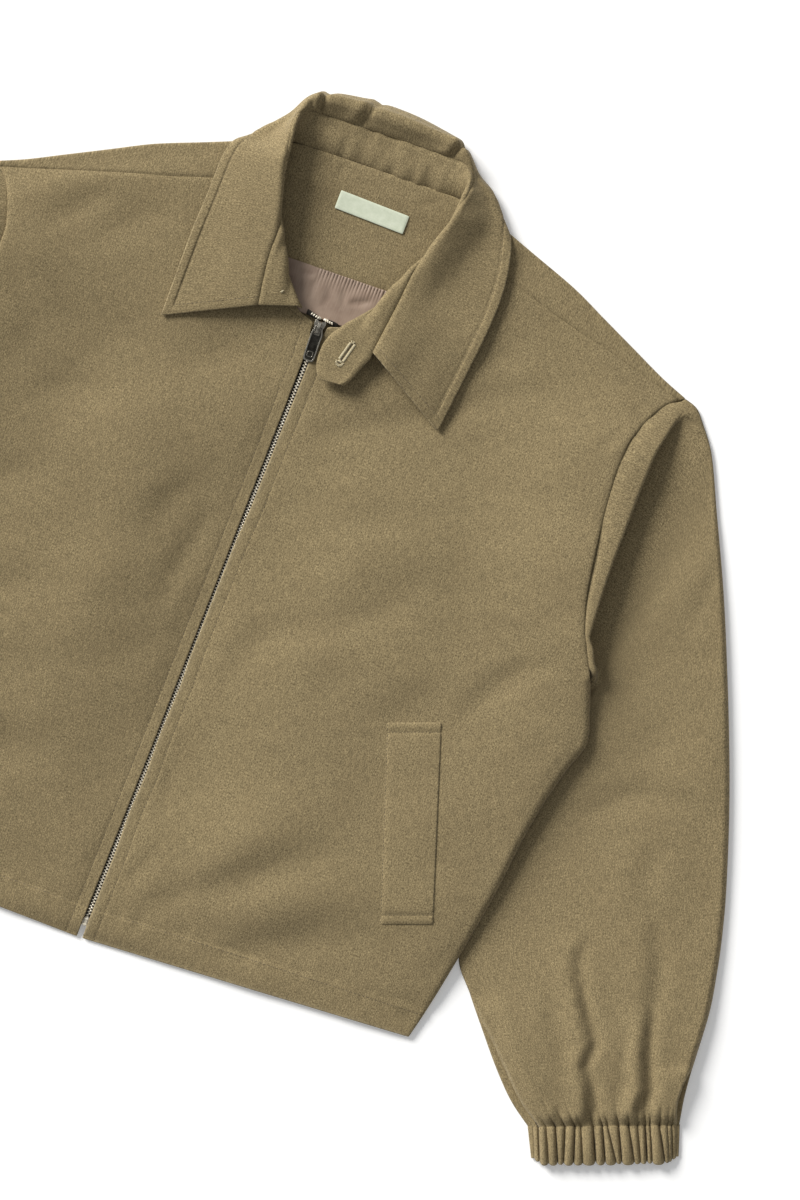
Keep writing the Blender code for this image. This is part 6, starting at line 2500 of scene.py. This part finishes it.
        plate = laid(shape + [(-w, a) for w, a in reversed(shape)])
        parts = [self.slab(plate, high - 1.1, high), self.slab(plate, low, low + 0.8)]
        for side in (-1, 1):
            rim = [(side * w, a) for w, a in shape[:7]]
            rim += [(side * (w - 0.11), a) for w, a in reversed(shape[:7])]
            flange = laid(rim[::side])
            parts.append(self.slab(flange, high - 2.0, high - 0.9))
            parts.append(self.slab(flange, low + 0.6, low + 1.2))
        post = self.rounded_loop((centre, foot + 8.6), (1.8, 3.0), 20, 3.0)
        parts.append(self.slab(post, low + 0.5, high - 0.5))
        arch = [(0.7, high - 0.4), (0.7, 6.9), (0.95, 7.6), (1.5, 8.1), (2.3, 8.3), (7.9, 8.3), (8.9, 8.1),
                (9.6, 7.6), (10.0, 6.8), (10.0, high - 0.4), (8.9, high - 0.4), (8.9, 6.7), (8.5, 7.0),
                (7.8, 7.2), (2.5, 7.2), (2.1, 7.0), (1.8, 6.7), (1.8, high - 0.4)]
        sides = [np.array([(centre + across, foot + a, z) for a, z in arch]) for across in (-1.15, 1.15)]
        count = len(arch)
        points = LAY.world(*np.concatenate(sides).T)
        faces = [tuple(range(count)), tuple(range(count, 2 * count))[::-1]]
        faces += [((n + 1) % count, n, count + n, count + (n + 1) % count) for n in range(count)]
        parts.append((points, faces))
        piece = self.join("zip_slider_metal", parts, finish)
        self.soften(piece, 0.22)
        return stand_for(piece, "zip_slider")

    def stops(self, finish: Material) -> list:
        """The two top stops and the banded stop at the foot.

        Args:
            finish: the metal.

        Returns:
            The stops.
        """
        made = []
        top = self.slider_foot_v + self.slider_length + 1.4
        for side in (Side.LEFT, Side.RIGHT):
            block = self.block((LAY.zip_u(top) + side.value * 2.7, top, 4.0), self.stop, 0, 3.2)
            node = f"zip_stop_{side.word}"
            made.append(stand_for(self.join(f"{node}_metal", [block], finish), node))
        middle = (self.foot_v - 0.3 + self.bottom_v) / 2
        parts = [self.block((LAY.zip_u(middle), middle, 3.0), self.foot_block, self.tooth_turn, 5.0)]
        for v in self.band_v:
            parts.append(self.block((LAY.zip_u(v), v, 3.2), self.foot_band, self.tooth_turn, 3.6))
        return made + [stand_for(self.join("zip_bottom_metal", parts, finish), "zip_bottom")]

    def build(self, finishes: Finishes) -> list:
        """Make the zip.

        Args:
            finishes: the jacket's materials.

        Returns:
            Its pieces, the pull riding on its own body.
        """
        made = [self.teeth(finishes.nickel), self.slider(finishes.slider), self.pull(finishes.gunmetal)]
        made += [self.tape(side, finishes.tape) for side in (Side.LEFT, Side.RIGHT)]
        return made + self.stops(finishes.nickel)


# ---------------------------------------------------------------- studio


@dataclass
class Studio:
    """A pale floor, soft lights and the camera."""

    turn: float = 19.0
    looks_at: tuple = (0.1288, 0.0094, 0.008)
    distance: float = 2.4
    lens: float = 100.0
    key_power: float = 4.75
    key_spread: float = 26.0
    key_from: tuple = (-0.68, 0.73, 0.50)
    sky: float = 0.33

    def camera(self) -> None:
        """The camera, straight above the lay."""
        data = bpy.data.cameras.new("camera")
        data.lens = self.lens
        data.sensor_fit = "VERTICAL"
        data.sensor_height = 36.0
        data.clip_end = 20.0
        camera = link("camera", data)
        camera.location = (self.looks_at[0], self.looks_at[1], self.looks_at[2] + self.distance)
        camera.rotation_euler = (0.0, 0.0, math.radians(self.turn))
        bpy.context.scene.camera = camera

    def key(self) -> None:
        """A broad even light from the upper left of the frame."""
        data = bpy.data.lights.new("key", "SUN")
        data.energy = self.key_power
        data.angle = math.radians(self.key_spread)
        data.color = (1.0, 0.985, 0.955)
        lamp = link("key", data)
        place = Matrix.Rotation(math.radians(self.turn), 3, "Z") @ Vector(self.key_from)
        lamp.location = place
        lamp.rotation_euler = place.to_track_quat("Z", "Y").to_euler()

    def floor(self) -> None:
        """The table that the jacket lies on."""
        mesh = bpy.data.meshes.new("floor")
        reach = 6.0
        corners = [(-reach, -reach, 0), (reach, -reach, 0), (reach, reach, 0), (-reach, reach, 0)]
        mesh.from_pydata(corners, [], [(0, 1, 2, 3)])
        g = Graph("floor_paper")
        where = g.place()
        grit = g.noise(where, 900.0, 3.0, 0.6)
        tone = g.blend(g.span(grit, 0.3, 0.7), colour(249, 249, 249), colour(252, 252, 252))
        mesh.materials.append(g.shade(Base_Color=tone, Roughness=0.9, Specular_IOR_Level=0.1,
                                      Emission_Strength=0.16))
        floor = link("floor", mesh)
        floor.location = (0, 0, -0.0002)

    def build(self) -> None:
        """Make the floor, the lights and the camera."""
        self.camera()
        self.floor()
        self.key()
        world = bpy.data.worlds.new("studio")
        world.use_nodes = True
        background = world.node_tree.nodes["Background"]
        background.inputs[0].default_value = (0.97, 0.985, 1.0, 1.0)
        background.inputs[1].default_value = self.sky
        bpy.context.scene.world = world
        bpy.context.scene.view_settings.view_transform = "Standard"


# ---------------------------------------------------------------- the jacket


LEFT_CREASES = (
    Crease(((-2, 377), (33, 388), (72, 410), (105, 430), (142, 455), (168, 470), (186, 465)), 13, 2.0, -0.6),
    Crease(((24, 190), (30, 218), (40, 240), (80, 258), (112, 278), (140, 312)), 13, 1.7, -0.6),
    Crease(((190, 225), (208, 254), (225, 275), (250, 288)), 11, 2.3, -0.6),
    Crease(((58, 42), (82, 66), (108, 88), (138, 106)), 16, 4.2, -0.6),
    Crease(((80, 12), (116, 28), (150, 50), (190, 62)), 17, 4.0, -0.5),
    Crease(((0, 28), (11, 52), (20, 73)), 8, 1.3, 0.6),
    Crease(((15, 20), (48, 45), (79, 66)), 9, 1.3, 0.5),
    Crease(((5, 133), (9, 108), (13, 86)), 7, 1, 0.5),
    Crease(((120, 470), (140, 486), (158, 500)), 14, 1, -0.5),
    Crease(((60, 330), (90, 345), (128, 352)), 12, 0.87, -0.5),
    Crease(((150, 385), (180, 395), (214, 392)), 12, 1, -0.5),
    Crease(((239, 482), (247, 473), (254, 466)), 7, 1.3),
    Crease(((222, 440), (231, 452), (240, 461)), 5, 1.2, 0.5),
)
RIGHT_CREASES = (
    Crease(((-112, 410), (-100, 345), (-80, 250), (-64, 160), (-62, 100)), 46, -3.1, 0.0, 0.25),
    Crease(((-20, 440), (-50, 424), (-85, 404)), 20, 2.8, -0.5),
    Crease(((-40, 232), (-36, 262), (-30, 290), (-24, 315)), 10, 1.6, -0.6),
    Crease(((-66, 280), (-58, 305), (-44, 332)), 11, 1.3, -0.6),
    Crease(((-174, 467), (-148, 492), (-120, 512)), 12, 1.7, -0.5),
    Crease(((-212, 470), (-190, 485), (-168, 505)), 10, 1.4, -0.5),
    Crease(((-230, 439), (-208, 415), (-184, 393)), 10, 1.6, 0.5),
    Crease(((-180, 350), (-150, 362), (-118, 360)), 13, 1.4, -0.6),
    Crease(((-215, 290), (-180, 285), (-140, 300)), 13, 1.4, -0.6),
    Crease(((-170, 205), (-130, 222), (-95, 228)), 12, 1.3, -0.6),
    Crease(((-190, 60), (-150, 82), (-110, 100), (-70, 108)), 22, 4.2, -0.6),
    Crease(((-107, 84), (-84, 66), (-50, 54)), 9, 1.3, 0.5),
)
SLEEVE_CREASES = (
    Crease(((333, 108), (330, 92), (336, 78), (342, 67), (352, 54)), 6.5, 2.9, 0.5, 0.7),
    Crease(((337, 76), (346, 61), (354, 49), (361, 39), (361, 28), (358, 16)), 5.8, 4.0, 0.5, 0.7),
    Crease(((357, 34), (360, 20), (368, 9), (375, -6), (376, -22), (373, -42)), 6.4, 5.8, 0.5, 0.8),
    Crease(((370, 140), (384, 112), (390, 95), (392, 73), (398, 52)), 9, 2.6, 0.5, 0.8),
    Crease(((391, 78), (400, 41), (409, 19), (409, 4), (414, -6), (417, -34)), 6.6, 6.2, 0.5, 0.9),
    Crease(((378, 62), (384, 36), (391, 12), (396, -12)), 6, 1.5, 0.5),
    Crease(((405, 15), (404, 0), (403, -12)), 4, 1.8, 0.4),
    Crease(((352, -12), (353, -20), (355, -28)), 4, 1.6, 0.4),
    Crease(((316, 62), (330, 38), (346, 18), (362, 6)), 9, 2.0, 0.5),
    Crease(((296, 186), (318, 208), (338, 220), (368, 222), (392, 210)), 10, 1.9, -0.6),
    Crease(((352, 190), (360, 160), (366, 130)), 12, 1.3, 0.6),
    Crease(((398, 262), (404, 232), (414, 205)), 12, 1.2, -0.6),
    Crease(((322, 330), (338, 322), (358, 326)), 12, 1.1, -0.6),
    Crease(((340, 400), (332, 372), (330, 345)), 9, 0.9, 0.5),
)


def dress_button(finish: Material) -> None:
    """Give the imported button, whose shape is right, its horn finish."""
    button = bpy.data.objects["collar_button"]
    for slot in button.material_slots:
        slot.material = finish


def main() -> None:
    """Build every sub-assembly of the jacket and the studio it lies in."""
    logging.basicConfig(level=logging.INFO, format="%(name)s: %(message)s")
    finishes = Finishes()
    Studio().build()
    back = Back()
    made = [back.build(finishes.twill)]
    for side, creases in ((Side.LEFT, LEFT_CREASES), (Side.RIGHT, RIGHT_CREASES)):
        gathers = Gathers(flip=side is Side.RIGHT)
        front = Front(side, creases)
        made += front.build(finishes.twill, finishes.thread)
        # The welt is sewn with the near-black thread: painted shade along its seam lines.
        made += Welt(front).build(finishes.twill, finishes.shadowed)
        made.append(Sleeve(side, SLEEVE_CREASES, gathers).build(finishes.twill))
        made.append(Cuff(side, gathers).build(finishes.twill))
    collar = Collar().build(finishes.twill, finishes.thread)
    made += collar
    made += NeckInside(back).build(finishes)
    made += Buttonhole().build(collar[0], finishes.purl, finishes.shadowed)
    made += Zip().build(finishes)
    dress_button(finishes.horn)
    for piece in made:
        LOG.info("%s: %d faces", piece.name, len(piece.data.polygons))


if __name__ == "__main__":
    main()
